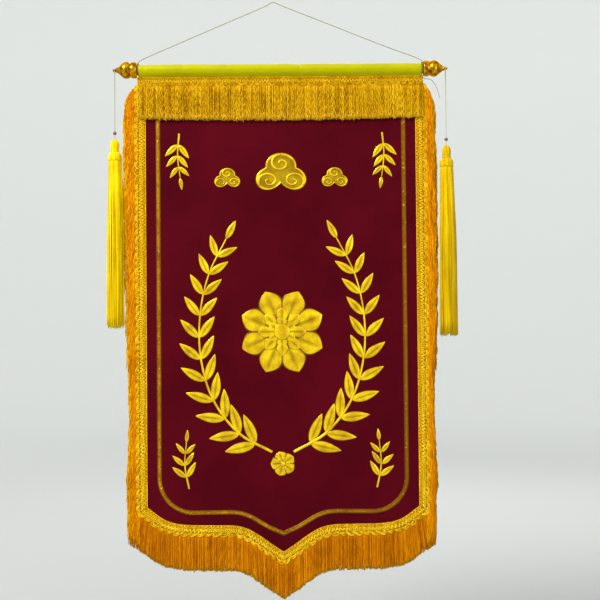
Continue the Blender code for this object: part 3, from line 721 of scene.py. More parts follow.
# Flowers: height, radius and petals
ROSETTE = (-0.800, 0.105, 8)
ROSETTE_HEART = (-0.800, 0.036, 6)
KNOT = (-1.118, 0.030, 5)
# Clouds: distance from the middle, height and half breadth
CLOUD_MIDDLE = (0.0, -0.420, 0.066)
CLOUD_ASIDE = (0.130, -0.430, 0.034)
# Leaves: length of the first, angle to their stem, and the stem's breadth
WREATH_LEAF = (0.078, 40, 0.007)
SPRIG_LEAF = (0.046, 42, 0.005)
WREATH = [
    (0.026, -1.090), (0.104, -1.045), (0.166, -0.965), (0.196, -0.865),
    (0.198, -0.760), (0.176, -0.660), (0.134, -0.575),
]
UPPER_SPRIG = [(0.246, -0.318), (0.250, -0.372), (0.244, -0.426)]
LOWER_SPRIG = [(0.226, -1.176), (0.236, -1.120), (0.232, -1.064)]
LEAF_CROWN = 0.0026
# A leaf's or petal's points: places across it, as shares of its half breadth, and steps along it
BLADE_ACROSS = (-1.0, -0.90, -0.84, -0.58, -0.30, 0.0, 0.30, 0.58, 0.84, 0.90, 1.0)
BLADE_STEPS = 13
LINE_SIDES = 8
# Rings of petals: start in petals, inner and outer reach, breadth, and lift in crowns
PETAL_RINGS = [(0, 0.16, 1.0, 1.02, 0.0), (0.5, 0.10, 0.56, 0.95, 0.45)]
HEART_SIDES = 24
# Rings of a flower's heart: the share of its radius, the height in crowns, and the share of gold over dark
# brown, which is the film's brown edge and painted shade at its foot
HEART_RINGS = [(0.21, 0.6, 0), (0.19, 1.3, 0.2), (0.17, 1.6, 1), (0.10, 1.95, 1), (0.02, 2.1, 1)]
CLOUD_SIDES = 96
CLOUD_LOW = 0.82
# Rings of a cloud: the share of its outline, the height over its foot, and the share of gold over dark brown,
# which is the film's brown edge and painted shade in its hollow
CLOUD_RINGS = [
    (1.000, 0.0000, 0.0), (0.975, 0.0008, 0.1), (0.960, 0.0014, 1.0), (0.900, 0.0015, 1.0),
    (0.860, 0.0008, 0.3), (0.400, 0.0008, 0.5), (0.020, 0.0009, 0.5),
]

gold_film = new_finish(
    "puffed gold film",
    Metallic=0.35,
    Specular_IOR_Level=0.4,
    Specular_Tint=(1.0, 0.85, 0.2, 1.0),
    Coat_Weight=0.12,
    Coat_Roughness=0.12,
)
film_grain = noise_value(gold_film, 330.0, 3.0)
film_tone = weigh(gold_film, film_grain, 0.35, noise_value(gold_film, 40.0), 0.65)
film_tone = ramp_value(gold_film, film_tone, 0.34, 0.64)
film_gold = blend_colours(gold_film, film_tone, (0.50, 0.27, 0.002), (0.94, 0.66, 0.006))
# Dark brown where gold is low: partly the film's brown edge, partly painted shade at feet, grooves, hollows.
colour_between(gold_film, yarn_coordinates(gold_film)[1], (0.09, 0.022, 0.001), film_gold)
feed(gold_film, "Roughness", ramp_value(gold_film, film_grain, 0.3, 0.7, 0.36, 0.20))
raise_bump(gold_film, film_grain, 0.0003, 0.15)


def blade(root, tip, half_wide, foot, crown, fullest=0.42, groove=0.3):
    """A domed leaf or petal with a groove along its middle, lying on the cloth."""
    root, tip = np.array(root), np.array(tip)
    t, s = np.meshgrid(np.linspace(0, 1, BLADE_STEPS), BLADE_ACROSS, indexing="ij")
    skew = np.log(0.5) / np.log(fullest)
    swell = np.sin(np.pi * t**skew) ** 0.85
    aside = np.array([tip[1] - root[1], root[0] - tip[0]]) / np.linalg.norm(tip - root)
    flat = root + (tip - root) * t[..., None] + aside * (half_wide * swell * s)[..., None]
    dome = np.sqrt(np.clip(1 - s**2, 0, 1)) * swell**0.6
    valley = groove * np.exp(-((s / 0.16) ** 2)) * np.clip(4 * t, 0, 1) * np.clip(3 * (1 - t), 0, 1)
    before = foot + crown * dome * (1 - valley)
    points = on_cloth(flat[..., 0], flat[..., 1], before).reshape(-1, 3)
    faces = grid_faces(len(BLADE_ACROSS), BLADE_STEPS)
    # Dark at its rim and in its groove: the film's brown edge and painted shade.
    gold = np.clip(12 * (0.91 - np.abs(s)), 0, 1) * (1 - 0.6 * valley / groove)
    return points, faces, painted_shade_coordinates(faces, gold)


def raised_line(route, wide, deep, foot):
    """A rounded gold line along a route of across and height, tapering with the given half breadths."""
    line = evenly(smooth_route([(*point, 0.0) for point in route], 6), 0.003)
    breadth = np.linspace(*wide, len(line))
    lifted = on_cloth(line[:, 0], line[:, 1], foot)
    points, faces, _ = yarns(lifted[None], breadth[None], deep, LINE_SIDES)
    # Dark on its side against the cloth: the film's brown edge and painted shade.
    gold = np.clip(0.6 - 1.2 * np.sin(2 * np.pi * (np.arange(len(points)) % LINE_SIDES) / LINE_SIDES), 0, 1)
    return points, faces, painted_shade_coordinates(faces, gold)


def plate(rings, gold):
    """A plate from rings of points on the cloth, closed by the last one, and each ring's share of gold."""
    around = len(rings[0])
    faces = [*ring_faces(len(rings), around), list(range(around * (len(rings) - 1), around * len(rings)))]
    return np.concatenate(rings), faces, painted_shade_coordinates(faces, np.repeat(gold, around))


def spray(side, rows, leaves):
    """A stem with a leaf to each side at every point of its route, and one leaf at its end."""
    leaf, leaf_angle, stem_wide = leaves
    route = [(side * across, z) for across, z in rows]
    stations = [Vector(point[:2]) for point in smooth_route([(*point, 0.0) for point in route], 2)]
    parts = [raised_line(route, (stem_wide / 2, stem_wide / 4), 0.0016, ORNAMENT_FOOT)]
    count = len(stations) - 1
    for index, here in enumerate(stations[1:], 1):
        along = (here - stations[index - 1]).normalized()
        across = Vector((along.y, -along.x))
        size = leaf * (1.0 - 0.35 * index / count)
        if index == count:
            parts.append(blade(here, here + along * size, 0.18 * size, ORNAMENT_FOOT, LEAF_CROWN))
            break
        for hand in (1, -1):
            reach = Matrix.Rotation(-hand * math.radians(leaf_angle), 2) @ along
            root = here + across * hand * stem_wide / 4
            parts.append(blade(root, root + reach * size, 0.18 * size, ORNAMENT_FOOT, LEAF_CROWN))
    return joined(*parts)


def flower(z, radius, petals, foot, crown):
    """Round petals side by side, a ring of small ones over them, and a domed heart."""
    parts = []
    middle = np.array([0.0, z])
    for ring, inner, outer, breadth, lift in PETAL_RINGS:
        for petal in range(petals):
            angle = 2 * math.pi * (petal + 0.5 + ring) / petals
            reach = np.array([math.cos(angle), math.sin(angle)])
            half_wide = breadth * math.tan(math.pi / petals) * 0.68 * outer * radius
            root, tip = middle + reach * inner * radius, middle + reach * outer * radius
            parts.append(blade(root, tip, half_wide, foot + lift * crown, crown, 0.64, 0.22))
    turn = np.linspace(0, 2 * np.pi, HEART_SIDES + 1)[:-1]
    heart = []
    for ring, height, _ in HEART_RINGS:
        reach = ring * radius
        heart.append(on_cloth(reach * np.cos(turn), z + reach * np.sin(turn), foot + height * crown))
    return joined(*parts, plate(heart, [gold for *_, gold in HEART_RINGS]))


def cloud(side, across, z, half_wide):
    """A low plate with three lobes, a rounded rim, and a scroll wound in each lobe."""
    turn = 2 * np.pi * (np.arange(CLOUD_SIDES) + 0.5) / CLOUD_SIDES
    lobes = 0.66 + 0.34 * np.abs(np.cos(1.5 * (turn - np.pi / 2)))
    reach = half_wide * (lobes - 0.30 * np.maximum(0.0, -np.sin(turn)) ** 6)
    rings = []
    for share, height, _ in CLOUD_RINGS:
        ring_across = side * across + share * reach * np.cos(turn)
        ring_z = z + CLOUD_LOW * share * reach * np.sin(turn)
        rings.append(on_cloth(ring_across, ring_z, ORNAMENT_FOOT + height))
    wind = np.linspace(0, 2.6 * np.pi, 30)
    radius = half_wide * np.linspace(0.40, 0.05, 30)
    thick = 0.035 * half_wide + 0.0006
    scrolls = []
    for lobe in range(3):
        angle = math.pi / 2 + lobe * 2 * math.pi / 3
        hand = -1 if lobe == 1 else 1
        a = side * across + 0.52 * half_wide * math.cos(angle) + radius * np.cos(angle + hand * wind)
        b = z + CLOUD_LOW * (0.52 * half_wide * math.sin(angle) + radius * np.sin(angle + hand * wind))
        scrolls.append(raised_line(list(zip(a, b)), (thick, 0.6 * thick), 0.0012, ORNAMENT_FOOT + 0.0014))
    return joined(plate(rings, [gold for *_, gold in CLOUD_RINGS]), *scrolls)


ornaments = {}
for word, side in SIDES.items():
    ornaments[f"wreath_{word}"] = spray(side, WREATH, WREATH_LEAF)
    ornaments[f"sprig_upper_{word}"] = spray(side, UPPER_SPRIG, SPRIG_LEAF)
    ornaments[f"sprig_lower_{word}"] = spray(side, LOWER_SPRIG, SPRIG_LEAF)
    ornaments[f"cloud_{word}"] = cloud(side, *CLOUD_ASIDE)
ornaments["cloud_middle"] = cloud(1, *CLOUD_MIDDLE)
ornaments["rosette"] = flower(*ROSETTE, ORNAMENT_FOOT, 0.0028)
ornaments["rosette_heart"] = flower(*ROSETTE_HEART, 0.0034, 0.0014)
for node, made in ornaments.items():
    add_piece(f"gold_{node}", *made, gold_film, "gold_film", node)
add_piece("gold_foot_flower", *flower(*KNOT, ORNAMENT_FOOT, 0.0018), gold_film, "gold_film", "knot")


# Top trim. A gimp of metallic and rayon threads is sewn over the seam of satin and velvet, and its
# valance of fine wavy yarn hangs from it over the head of the field.
TOP_GIMP = -0.1817
TOP_GIMP_LOW = -0.2022
TOP_FRINGE_END = -0.282
TOP_HALF = 0.3462

gimp_cloth = new_finish(
    "woven gimp ground", Roughness=0.55, Specular_IOR_Level=0.3, Specular_Tint=(1.0, 0.66, 0.05, 1.0)
)
cells = {"Vector": place_on_object(gimp_cloth), "Scale": 520.0}
ground_weave = add_node(gimp_cloth, "ShaderNodeTexVoronoi", cells, feature="F1").outputs["Distance"]
ground_tone = weigh(gimp_cloth, noise_value(gimp_cloth, 150.0, 3.0), 0.6, ground_weave, 0.5)
ground_tone = ramp_value(gimp_cloth, ground_tone, 0.3, 0.75)
colour_between(gimp_cloth, ground_tone, (0.46, 0.20, 0.001), (0.24, 0.09, 0.001))
raise_bump(gimp_cloth, ground_weave, 0.0006, 0.6)

gimp_thread = twisted_yarn(
    "metallic gimp thread", (0.42, 0.17, 0.001), (0.92, 0.50, 0.002), (1.00, 0.78, 0.040), 0.0022, 0.30, 90.0
)
# A darker copy of the gimp thread for the head gimp, which lies in shadow: painted shade.
shaded_head_gimp_thread = twisted_yarn(
    "head gimp thread in painted shade", (0.30, 0.12, 0.001), (0.66, 0.35, 0.002), (0.92, 0.62, 0.020), 0.0022, 0.36, 90.0
)
for thread in (gimp_thread, shaded_head_gimp_thread):
    thread.node_tree.nodes["Principled BSDF"].inputs["Metallic"].default_value = 0.25


class Braid:
    """A gimp's plane: a way along it in metres, and the share from its inner to its outer edge."""

    def __init__(self, edges, before):
        self.edges, self.before = edges, before
        self.shares = np.linspace(0, 1, 600)
        inner, outer = edges(self.shares)
        middle = (np.stack(inner, axis=1) + np.stack(outer, axis=1)) / 2
        self.far = lengths_along(middle[None])[0]
        self.length = float(self.far[-1])

    def place(self, far, out, lift):
        inner, outer = self.edges(np.interp(far, self.far, self.shares))
        across = inner[0] + (outer[0] - inner[0]) * out
        z = inner[1] + (outer[1] - inner[1]) * out
        return on_cloth(across, z, self.before + lift)

    def stations(self, pitch):
        """Distances along the gimp in the middle of even parts of it, each about a pitch long."""
        count = round(self.length / pitch)
        return (np.arange(count) + 0.5) * self.length / count


# The ground's section: the share of the way to the gimp's outer edge, and the lift
GROUND_SECTION = [
    (0.0, 0.0), (0.03, 0.0006), (0.35, 0.0009), (0.65, 0.0009),
    (0.97, 0.0006), (1.0, 0.0), (0.5, -0.0001), (0.0, 0.0),
]
# Lace threads: the middle of each one's way across the gimp, its reach, and its start in turns
LACE = [(0.21, 0.16, 0.0), (0.21, 0.16, 0.5), (0.50, 0.19, 0.25), (0.50, 0.19, 0.75)]
LACE_PERIOD = 0.0086
LACE_STEPS = 7
GROUND_STEP = 0.006
RIM_STEP = 0.004
STITCH_PITCH = 0.0036
SHELL_PITCH = 0.0185
SHELL_RADII = (0.0086, 0.0063, 0.0041, 0.0021)


def gimp_ground(braid):
    """The gimp's woven ground, a closed band under its threads."""
    columns = round(braid.length / GROUND_STEP)
    far = np.linspace(0, braid.length, columns)
    rows = [braid.place(far, out, lift) for out, lift in GROUND_SECTION]
    return np.concatenate(rows), grid_faces(columns, len(GROUND_SECTION)), None


def gimp_threads(braid, width):
    """A cord along the inner edge, lace threads that wind over and under each other, and shell loops."""
    periods = round(braid.length / LACE_PERIOD)
    far = np.linspace(0, braid.length, periods * LACE_STEPS + 1)
    turn = 2 * np.pi * periods * far / braid.length
    winding = []
    for middle, reach, start in LACE:
        drift = 0.9 * np.sin(far / 0.017 + 9 * start) + 0.7 * np.sin(far / 0.041 + 5 * start)
        phase = turn + 2 * np.pi * start + drift
        lift = 0.0014 + 0.0006 * np.cos(2 * phase + start)
        winding.append(braid.place(far, middle + (reach + 0.03 * np.sin(far / 0.011)) * np.sin(phase), lift))
    rim = braid.place(np.linspace(0, braid.length, round(braid.length / RIM_STEP)), 0.02, 0.0010)
    shells = []
    bend = np.radians(np.linspace(-118, 118, 10))
    for start in braid.stations(SHELL_PITCH):
        for radius in SHELL_RADII:
            along = np.clip(start + radius * np.sin(bend), 0, braid.length)
            shells.append(braid.place(along, 0.80 + 0.85 * radius * np.cos(bend) / width, 0.0026))
        along = np.clip(start + np.linspace(-0.0060, 0.0060, 10), 0, braid.length)
        shells.append(braid.place(along, 0.79 - 0.02 * np.sin(bend), 0.0022))
    return joined(
        yarns(np.stack(winding), 0.00085, 0.00060),
        yarns(rim[None], 0.00090, 0.00080),
        yarns(np.array(shells), 0.00090, 0.00080),
    )


def back_stitches(braid, outs):
    """Rows of machine stitches on the cloth's back, where the gimp is sewn down."""
    along = braid.stations(STITCH_PITCH)[:, None] + 0.0012 * np.linspace(-1, 1, 3)
    sunk = 0.0005 * np.linspace(-1, 1, 3) ** 2
    rows = [braid.place(along, out, sunk - braid.before - 0.0012) for out in outs]
    return yarns(np.concatenate(rows), 0.00036, 0.00028, 3, (0, -1, 0))


def hang_fringe(
    roots, edge, out, fall, pitch, strands, before, seed, bend, wave,
    gather=0.0, steps=10, spread=(0.9, 1.1), wide=0.0008,
):
    """Locks of yarn from points on a gimp's edge, given as across and height.

    out and fall say how far each lock's end is from its root, and edge is the direction of the gimp's
    edge. pitch is a lock's width. before is how far it stands before the cloth at its root and where it
    hangs. The greater bend is, the sooner it turns down. Its yarns lie in three layers, wave by a height
    and length, take from the least to the most share of out that spread gives, and draw together by the
    share gather.
    """
    random = np.random.default_rng(seed)
    locks = len(roots)
    share = (np.arange(strands) + 0.5) / strands - 0.5
    lateral = pitch * (share + random.uniform(-0.12, 0.12, (locks, strands)))
    layer = (np.arange(strands) % 3 - 1) * 0.0013 + random.uniform(-0.0003, 0.0003, (locks, strands))
    at_root, hanging = before
    long = 1 + random.normal(0, 0.010, (locks, 1)) + random.normal(0, 0.014, (locks, strands))
    long = (fall[:, None] * long)[..., None]
    lean = random.normal(0, 0.0003, (locks, 1)) + random.normal(0, 0.0005, (locks, strands))
    t = np.linspace(0, 1, steps)
    height, length = wave
    phase = random.uniform(0, 2 * np.pi, (locks, strands, 1))
    turns = phase + 2 * np.pi * t * long / length
    grown = height * np.clip(4 * t, 0, 1)
    drawn = 1 - gather * t**0.8
    stray = random.uniform(*spread, (locks, strands, 1))
    outward = out[:, None, None] * stray * (1 - (1 - t) ** bend)
    across = roots[:, 0, None, None] + edge[:, 0, None, None] * lateral[..., None] * drawn + outward
    across = across + lean[..., None] * t**1.5 + grown * np.cos(turns)
    z = roots[:, 1, None, None] + edge[:, 1, None, None] * lateral[..., None] - long * t
    depth = at_root + (hanging - at_root) * np.clip(5 * t, 0, 1)
    depth = depth + layer[..., None] * np.clip(0.3 + 4 * t, 0, 1) + 0.7 * grown * np.sin(turns)
    lines = on_cloth(across, z, depth).reshape(-1, steps, 3)
    taper = np.clip(14 * (1 - t), 0.75, 1)
    return yarns(lines, 1.15 * wide * taper, 0.00085 * taper, 3)


def top_edges(share):
    across = TOP_HALF * (2 * share - 1)
    return (across, np.full_like(across, TOP_GIMP)), (across, np.full_like(across, TOP_GIMP_LOW))


valance_yarn = twisted_yarn(
    "golden valance yarn", (0.24, 0.08, 0.001), (0.76, 0.38, 0.002), (1.00, 0.70, 0.015), 0.0050, 0.40,
    tip=(0.88, 0.50, 0.020), tip_at=(0.070, 0.084),
)
sewing_thread = twisted_yarn(
    "yellow sewing thread", (0.50, 0.30, 0.003), (0.66, 0.44, 0.006), (0.80, 0.60, 0.020), 0.0012, 0.5
)

top_braid = Braid(top_edges, 0.0030)
add_piece("top_gimp_ground", *gimp_ground(top_braid), gimp_cloth, "fringe", "top_trim")
top_threads = gimp_threads(top_braid, TOP_GIMP - TOP_GIMP_LOW)
add_piece("top_gimp_threads", *top_threads, shaded_head_gimp_thread, "fringe", "top_trim")
add_piece("head_stitches", *back_stitches(Braid(top_edges, 0.0022), (0.15, 0.70)), sewing_thread, "fringe")
locks = 138
lock_far = np.linspace(-1, 1, 2 * locks + 1)[1::2] * TOP_HALF
lock_top = TOP_GIMP_LOW + 0.002
valance = hang_fringe(
    roots=np.stack([lock_far, np.full(locks, lock_top)], axis=1),
    edge=np.tile((1.0, 0.0), (locks, 1)),
    out=np.zeros(locks),
    fall=lock_top - TOP_FRINGE_END + 0.005 * (1 - (lock_far / TOP_HALF) ** 2),
    pitch=2 * TOP_HALF / locks,
    strands=8,
    before=(0.0038, 0.0068),
    seed=11,
    bend=1.5,
    wave=(0.0015, 0.018),
    gather=0.10,
    steps=13,
)
add_piece("valance_fringe", *valance, valance_yarn, "fringe", "top_trim")


# Bottom trim. The same gimp, 25 mm wide, follows the pointed edge, and its thicker fringe hangs straight
# down, its cut ends painted paler: a painted highlight where they catch the light.
RED_HALF = 0.327
CORNER_Z = -1.2210
CORNER_DROP = 0.0130
FRINGE = 0.083
CORNER_SPREAD = 0.016
GIMP_BEFORE = 0.0013
STITCH_ROWS = (0.12, 0.62)
FRINGE_LAY = 0.0055

# The paler tip colour is a painted highlight where the yarns' cut ends catch the light.
fringe_yarn = twisted_yarn(
    "orange gold fringe yarn", (0.30, 0.078, 0.001), (0.56, 0.168, 0.001), (0.84, 0.34, 0.003),
    FRINGE_LAY, 0.42, tip=(0.72, 0.36, 0.004), tip_at=(0.074, 0.084),
)


def bottom_edges(share):
    inner = (2 * share - 1) * RED_HALF
    outer = (2 * share - 1) * (RED_HALF + GIMP_WIDE)
    return (inner, lower_outline(inner, 0.0)), (outer, lower_outline(outer, GIMP_WIDE))


def edge_locks(braid, pitch):
    """Points along a gimp's outer edge a pitch apart, a little inside it, and the edge's direction there."""
    far = np.linspace(0, braid.length, round(braid.length / pitch) * 2 + 1)[1::2]
    shares = np.interp(far, braid.far, braid.shares)
    inner, outer = (np.stack(edge, axis=1) for edge in braid.edges(shares))
    ahead = np.stack(braid.edges(np.clip(shares + 0.002, 0, 1))[1], axis=1)
    behind = np.stack(braid.edges(np.clip(shares - 0.002, 0, 1))[1], axis=1)
    direction = (ahead - behind) / np.linalg.norm(ahead - behind, axis=1, keepdims=True)
    return outer + 0.08 * (inner - outer), direction, shares


bottom_braid = Braid(bottom_edges, GIMP_BEFORE)
add_piece("bottom_gimp_ground", *gimp_ground(bottom_braid), gimp_cloth, "fringe", "bottom_trim")
add_piece("bottom_gimp_threads", *gimp_threads(bottom_braid, GIMP_WIDE), gimp_thread, "fringe", "bottom_trim")
add_piece("bottom_stitches", *back_stitches(bottom_braid, STITCH_ROWS), sewing_thread, "fringe")
roots, edge, shares = edge_locks(bottom_braid, 0.0062)
fringe = hang_fringe(
    roots=roots,
    edge=edge,
    out=CORNER_SPREAD * (2 * shares - 1) ** 9,
    fall=FRINGE + 0.002 - 0.006 * (2 * shares - 1) ** 10,
    pitch=(0.0064 + 0.0036 * np.abs(2 * shares - 1) ** 9)[:, None],
    strands=14,
    before=(0.0016, 0.0016),
    seed=23,
    bend=1.2,
    wave=(0.0005, 0.030),
    steps=9,
    wide=0.00105,
)
add_piece("bottom_fringe", *fringe, fringe_yarn, "fringe", "bottom_trim")


# Side trims. Upright gimps, mitred to the bottom one, whose fringe leaves them sideways and falls aslant,
# each lock over the next: a full deep orange roll, with yarns at its rim behind it that are painted paler
# on the left, in painted light, and darker and olive on the right, in painted shade.
SIDE_GIMP_TOP = -0.2000
SIDE_FALL = 0.074
CORNER_LOCKS = 7
# How far the side fringe stands out from its gimp, from the top down
SIDE_REACHES = {
    "left": [
        (0.00, 0.0300), (0.15, 0.0305), (0.30, 0.0290), (0.45, 0.0275), (0.58, 0.0240),
        (0.66, 0.0205), (0.76, 0.0205), (0.84, 0.0255), (0.91, 0.0260), (1.00, 0.0235),
    ],
    "right": [
        (0.00, 0.0240), (0.12, 0.0262), (0.28, 0.0272), (0.45, 0.0266), (0.57, 0.0215), (0.65, 0.0155),
        (0.73, 0.0155), (0.80, 0.0175), (0.86, 0.0210), (0.92, 0.0175), (1.00, 0.0160),
    ],
}

roll_yarn = twisted_yarn(
    "deep orange side yarn", (0.50, 0.12, 0.001), (0.80, 0.29, 0.001), (1.00, 0.50, 0.003), FRINGE_LAY, 0.40
)
# The rim yarn is a lit copy on the left and a shaded copy on the right: painted light and painted shade.
RIM_YARNS = {
    "left": twisted_yarn(
        "golden rim yarn in painted light", (0.52, 0.20, 0.001), (0.88, 0.43, 0.002), (1.00, 0.68, 0.010), FRINGE_LAY, 0.40
    ),
    "right": twisted_yarn(
        "olive rim yarn in painted shade", (0.20, 0.085, 0.001), (0.50, 0.25, 0.002), (0.82, 0.48, 0.006), FRINGE_LAY, 0.40
    ),
}

for word, side in SIDES.items():

    def side_edges(share, side=side):
        inner = SIDE_GIMP_TOP - share * (SIDE_GIMP_TOP - CORNER_Z - 0.0006)
        outer_across = np.full_like(share, side * (RED_HALF + GIMP_WIDE))
        return (np.full_like(share, side * RED_HALF), inner), (outer_across, inner - share * CORNER_DROP)

    node = f"side_trim_{word}"
    braid = Braid(side_edges, GIMP_BEFORE)
    add_piece(f"side_gimp_ground_{word}", *gimp_ground(braid), gimp_cloth, "fringe", node)
    add_piece(f"side_gimp_threads_{word}", *gimp_threads(braid, GIMP_WIDE), gimp_thread, "fringe", node)
    add_piece(f"side_stitches_{word}", *back_stitches(braid, STITCH_ROWS), sewing_thread, "fringe")
    roots, edge, shares = edge_locks(braid, 0.0060)
    reach = read_row(SIDE_REACHES[word], shares) + 0.0008 * np.sin(67 * shares)
    # The last locks fan out over the corner
    fan = np.linspace(0.2, 1.0, CORNER_LOCKS) * reach[-1]
    fanned_fall = np.linspace(0.082, 0.066, CORNER_LOCKS)
    locks = {
        "roots": np.concatenate([roots, roots[-1] + np.outer(1 - fan / fan[-1], (-0.006 * side, -0.001))]),
        "edge": np.concatenate([edge, np.tile(edge[-1], (CORNER_LOCKS, 1))]),
        "out": side * np.concatenate([reach, fan]),
        "fall": np.concatenate([np.full(len(shares), SIDE_FALL + 0.004), fanned_fall]),
        "pitch": 0.0064,
        "bend": 3.6,
        "gather": 0.2,
    }
    rim = hang_fringe(
        **locks, strands=6, before=(0.0010, 0.0008), seed=31 + side, wave=(0.0010, 0.034), spread=(0.66, 1.04)
    )
    roll = hang_fringe(
        **locks, strands=7, before=(0.0018, 0.0034), seed=51 + side, wave=(0.0011, 0.041), spread=(0.22, 0.86)
    )
    add_piece(f"side_fringe_rim_{word}", *rim, RIM_YARNS[word], "fringe", node)
    add_piece(f"side_fringe_{word}", *roll, roll_yarn, "fringe", node)


# Beads. Small drilled beads in dark red lacquer, worn a little. One is threaded on the doubled string
# over each tassel.
BEAD_RADIUS = 0.0045
BEAD_HOLE = 0.0023
BEAD_SIDES = 32
lacquer = new_finish("dark red lacquer", Coat_Weight=0.6, Coat_Roughness=0.08)
flecks = noise_value(lacquer, 500.0, 3.0)
colour_between(lacquer, flecks, (0.10, 0.012, 0.006), (0.30, 0.045, 0.018))
feed(lacquer, "Roughness", ramp_value(lacquer, flecks, 0.3, 0.7, 0.22, 0.40))

open_angle = math.acos(BEAD_HOLE / BEAD_RADIUS)
outer = [
    (BEAD_RADIUS * math.cos(angle), BEAD_RADIUS * math.sin(angle))
    for angle in np.linspace(-open_angle, open_angle, 13)
]
inner = [(BEAD_HOLE, z) for z in np.linspace(outer[-1][1] - 0.0004, outer[0][1] + 0.0004, 5)]
outline = np.array([*outer, *inner])
bead = turned(outline, 2 * np.pi * np.arange(BEAD_SIDES) / BEAD_SIDES)
bead_faces = ring_faces(len(outline), BEAD_SIDES, looped=True)
for word, (side, tassel_top, _, _) in TASSELS.items():
    points = bead + (MIDDLE_X + side * TASSEL_X, 0, tassel_top + BEAD_OVER_TASSEL)
    node = f"bead_{word}"
    add_piece(f"lacquered_{node}", points, bead_faces, None, lacquer, "bead", node)


# Tassels. Bright yellow silk-like yarn: a head of upright threads over a round core, bound at the neck by
# a few turns of thread, and a long straight skirt.
HEAD_END = 0.052
HEAD_THREADS = 46
SKIRT_TOP = 0.042
# The head's outline: distance from its top, and radius there
TASSEL_HEAD = [
    (0.0000, 0.0030), (0.0025, 0.0065), (0.0070, 0.0092), (0.0140, 0.0102), (0.0210, 0.0098),
    (0.0265, 0.0084), (0.0300, 0.0090), (0.0350, 0.0126), (0.0400, 0.0150), (0.0440, 0.0155),
    (HEAD_END, 0.0155),
]
# Turns of thread at the neck: distance from the head's top, and radius
NECK_TURNS = [(0.0238, 0.0096), (0.0252, 0.0097), (0.0266, 0.0097), (0.0280, 0.0098), (0.0294, 0.0099)]
# Rings of the skirt: strands, radius at the neck, and how many times as wide it hangs
SKIRT_RINGS = [(78, 0.0150, 1.28), (54, 0.0112, 1.22), (26, 0.0060, 1.15)]
# Each tassel's yarn: its deep, middle and bright tone, paler on the left in painted light and darker on
# the right in painted shade
TASSEL_TONES = {
    "left": ((0.54, 0.30, 0.001), (0.96, 0.66, 0.002), (1.00, 0.86, 0.010)),
    "right": ((0.40, 0.21, 0.001), (0.75, 0.48, 0.002), (0.91, 0.70, 0.010)),
}
down = np.linspace(0.0, HEAD_END, 27)
radius = np.interp(down, *np.array(TASSEL_HEAD).T)
around = (2 * np.pi * np.arange(HEAD_THREADS) / HEAD_THREADS)[:, None] + 0.5 * down / HEAD_END
head = np.stack([radius * np.cos(around), radius * np.sin(around), -down + 0 * around], axis=-1)
thread_wide = np.broadcast_to(radius * math.pi / HEAD_THREADS * 1.15, (HEAD_THREADS, len(down)))
thread_wide = np.maximum(thread_wide, 0.0003)
turn = np.linspace(0, 2 * np.pi, 37)
wraps = np.array(
    [
        np.stack([radius * np.cos(turn), radius * np.sin(turn), -turn_down + 0 * turn], axis=1)
        for turn_down, radius in NECK_TURNS
    ]
)
t = np.linspace(0, 1, 17)
for word, (side, tassel_top, long, lean) in TASSELS.items():
    axis = np.array([MIDDLE_X + side * TASSEL_X, 0, tassel_top])
    random = np.random.default_rng(41 + side)
    skirt = []
    for count, ring_radius, flare in SKIRT_RINGS:
        angle = (2 * np.pi * (np.arange(count) + random.uniform(-0.3, 0.3, count)) / count)[:, None]
        uneven = 1 + random.normal(0, 0.005, (count, 1)) + 0.010 * np.sin(2 * angle + side)
        fall = (long - SKIRT_TOP) * uneven
        spread = ring_radius * (1 + (flare - 1) * np.minimum(1.0, 2.4 * t) + 0.05 * np.sin(5 * t + angle))
        stray = random.normal(0, 0.0012, (count, 1)) * t
        x = spread * np.cos(angle + 0.10 * t) + lean * fall * t + stray
        y = spread * np.sin(angle + 0.10 * t) + random.normal(0, 0.0008, (count, 1)) * t
        skirt.append(np.stack([x, y, -SKIRT_TOP - fall * t], axis=-1) + axis)
    tassel = joined(
        yarns(head + axis, thread_wide, 0.0007, 5, (0, 1, 0.01)),
        yarns(wraps + axis, 0.0008, 0.0008, 6, (0, 0, 1)),
        yarns(np.concatenate(skirt), 0.00085, 0.00075, 4, (0, 1, 0.01)),
    )
    tassel_yarn = twisted_yarn(f"yellow tassel yarn {word}", *TASSEL_TONES[word], 0.0045, 0.36, 5.0)
    add_piece(f"yarn_tassel_{word}", *tassel, tassel_yarn, "tassel", f"tassel_{word}")


# Studio. A wide pale bowl for a floor and backdrop, with soft light from the upper left, a weaker fill
# from the right and one from behind.
BOWL_SIDES = 96
# The bowl's outline: radius and height
BOWL = [
    (0.02, -1.75), (3.0, -1.75), (5.5, -1.72), (7.2, -1.45), (8.3, -0.6), (8.9, 0.8), (9.1, 2.6), (9.2, 5.0),
]

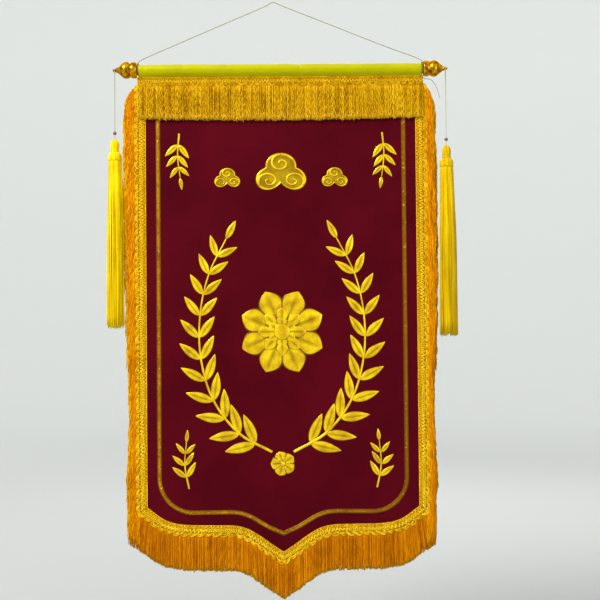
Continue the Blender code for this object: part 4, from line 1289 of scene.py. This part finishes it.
paper = new_finish("pale studio paper", Roughness=0.9, Specular_IOR_Level=0.1)
paper_parts = add_node(paper, "ShaderNodeSeparateXYZ", {"Vector": place_on_object(paper)}).outputs
on_floor = {"X": paper_parts["X"], "Y": paper_parts["Y"]}
on_floor = add_node(paper, "ShaderNodeCombineXYZ", on_floor).outputs[0]
paper_far = add_node(paper, "ShaderNodeVectorMath", {0: on_floor}, operation="LENGTH").outputs["Value"]
paler = ramp_value(paper, paper_far, 1.2, 6.5, 0.0, 0.75)
paler = math_node(paper, "ADD", paler, ramp_value(paper, paper_parts["Z"], -1.5, 2.0, 0.0, 0.25))
colour_between(paper, paler, (0.445, 0.460, 0.452), (0.870, 0.895, 0.885))
raise_bump(paper, noise_value(paper, 60.0, 3.0), 0.0006, 0.3)
profile = smooth_route([(radius, z, 0) for radius, z in BOWL], 6)[:, :2]
bowl_points = turned(profile, 2 * np.pi * np.arange(BOWL_SIDES + 1) / BOWL_SIDES)
bowl_faces = [*grid_faces(BOWL_SIDES + 1, len(profile)), list(range(BOWL_SIDES))]
bowl = add_mesh("studio_floor", bowl_points, bowl_faces, None, paper)

world = bpy.data.worlds.new("studio")
world.use_nodes = True
sky = world.node_tree.nodes["Background"]
sky.inputs["Color"].default_value = (1.0, 0.99, 0.97, 1.0)
sky.inputs["Strength"].default_value = 0.90
bpy.context.scene.world = world

# Lights: place, what each is turned to, side and power
LIGHTS = {
    "window_light": ((-2.3, -2.2, 1.9), (0.0, 0.0, -0.6), 1.4, 190.0),
    "fill_light": ((2.4, -2.8, -0.2), (0.0, 0.0, -0.8), 2.2, 30.0),
    "back_light": ((0.8, 3.2, 1.2), (0.0, 0.0, -0.7), 2.0, 45.0),
}
for name, (place, target, side, power) in LIGHTS.items():
    lamp = bpy.data.lights.new(name, "AREA")
    lamp.size = side
    lamp.energy = power
    holder = bpy.data.objects.new(name, lamp)
    holder.location = place
    holder.rotation_euler = (Vector(target) - Vector(place)).to_track_quat("-Z", "Y").to_euler()
    bpy.context.scene.collection.objects.link(holder)
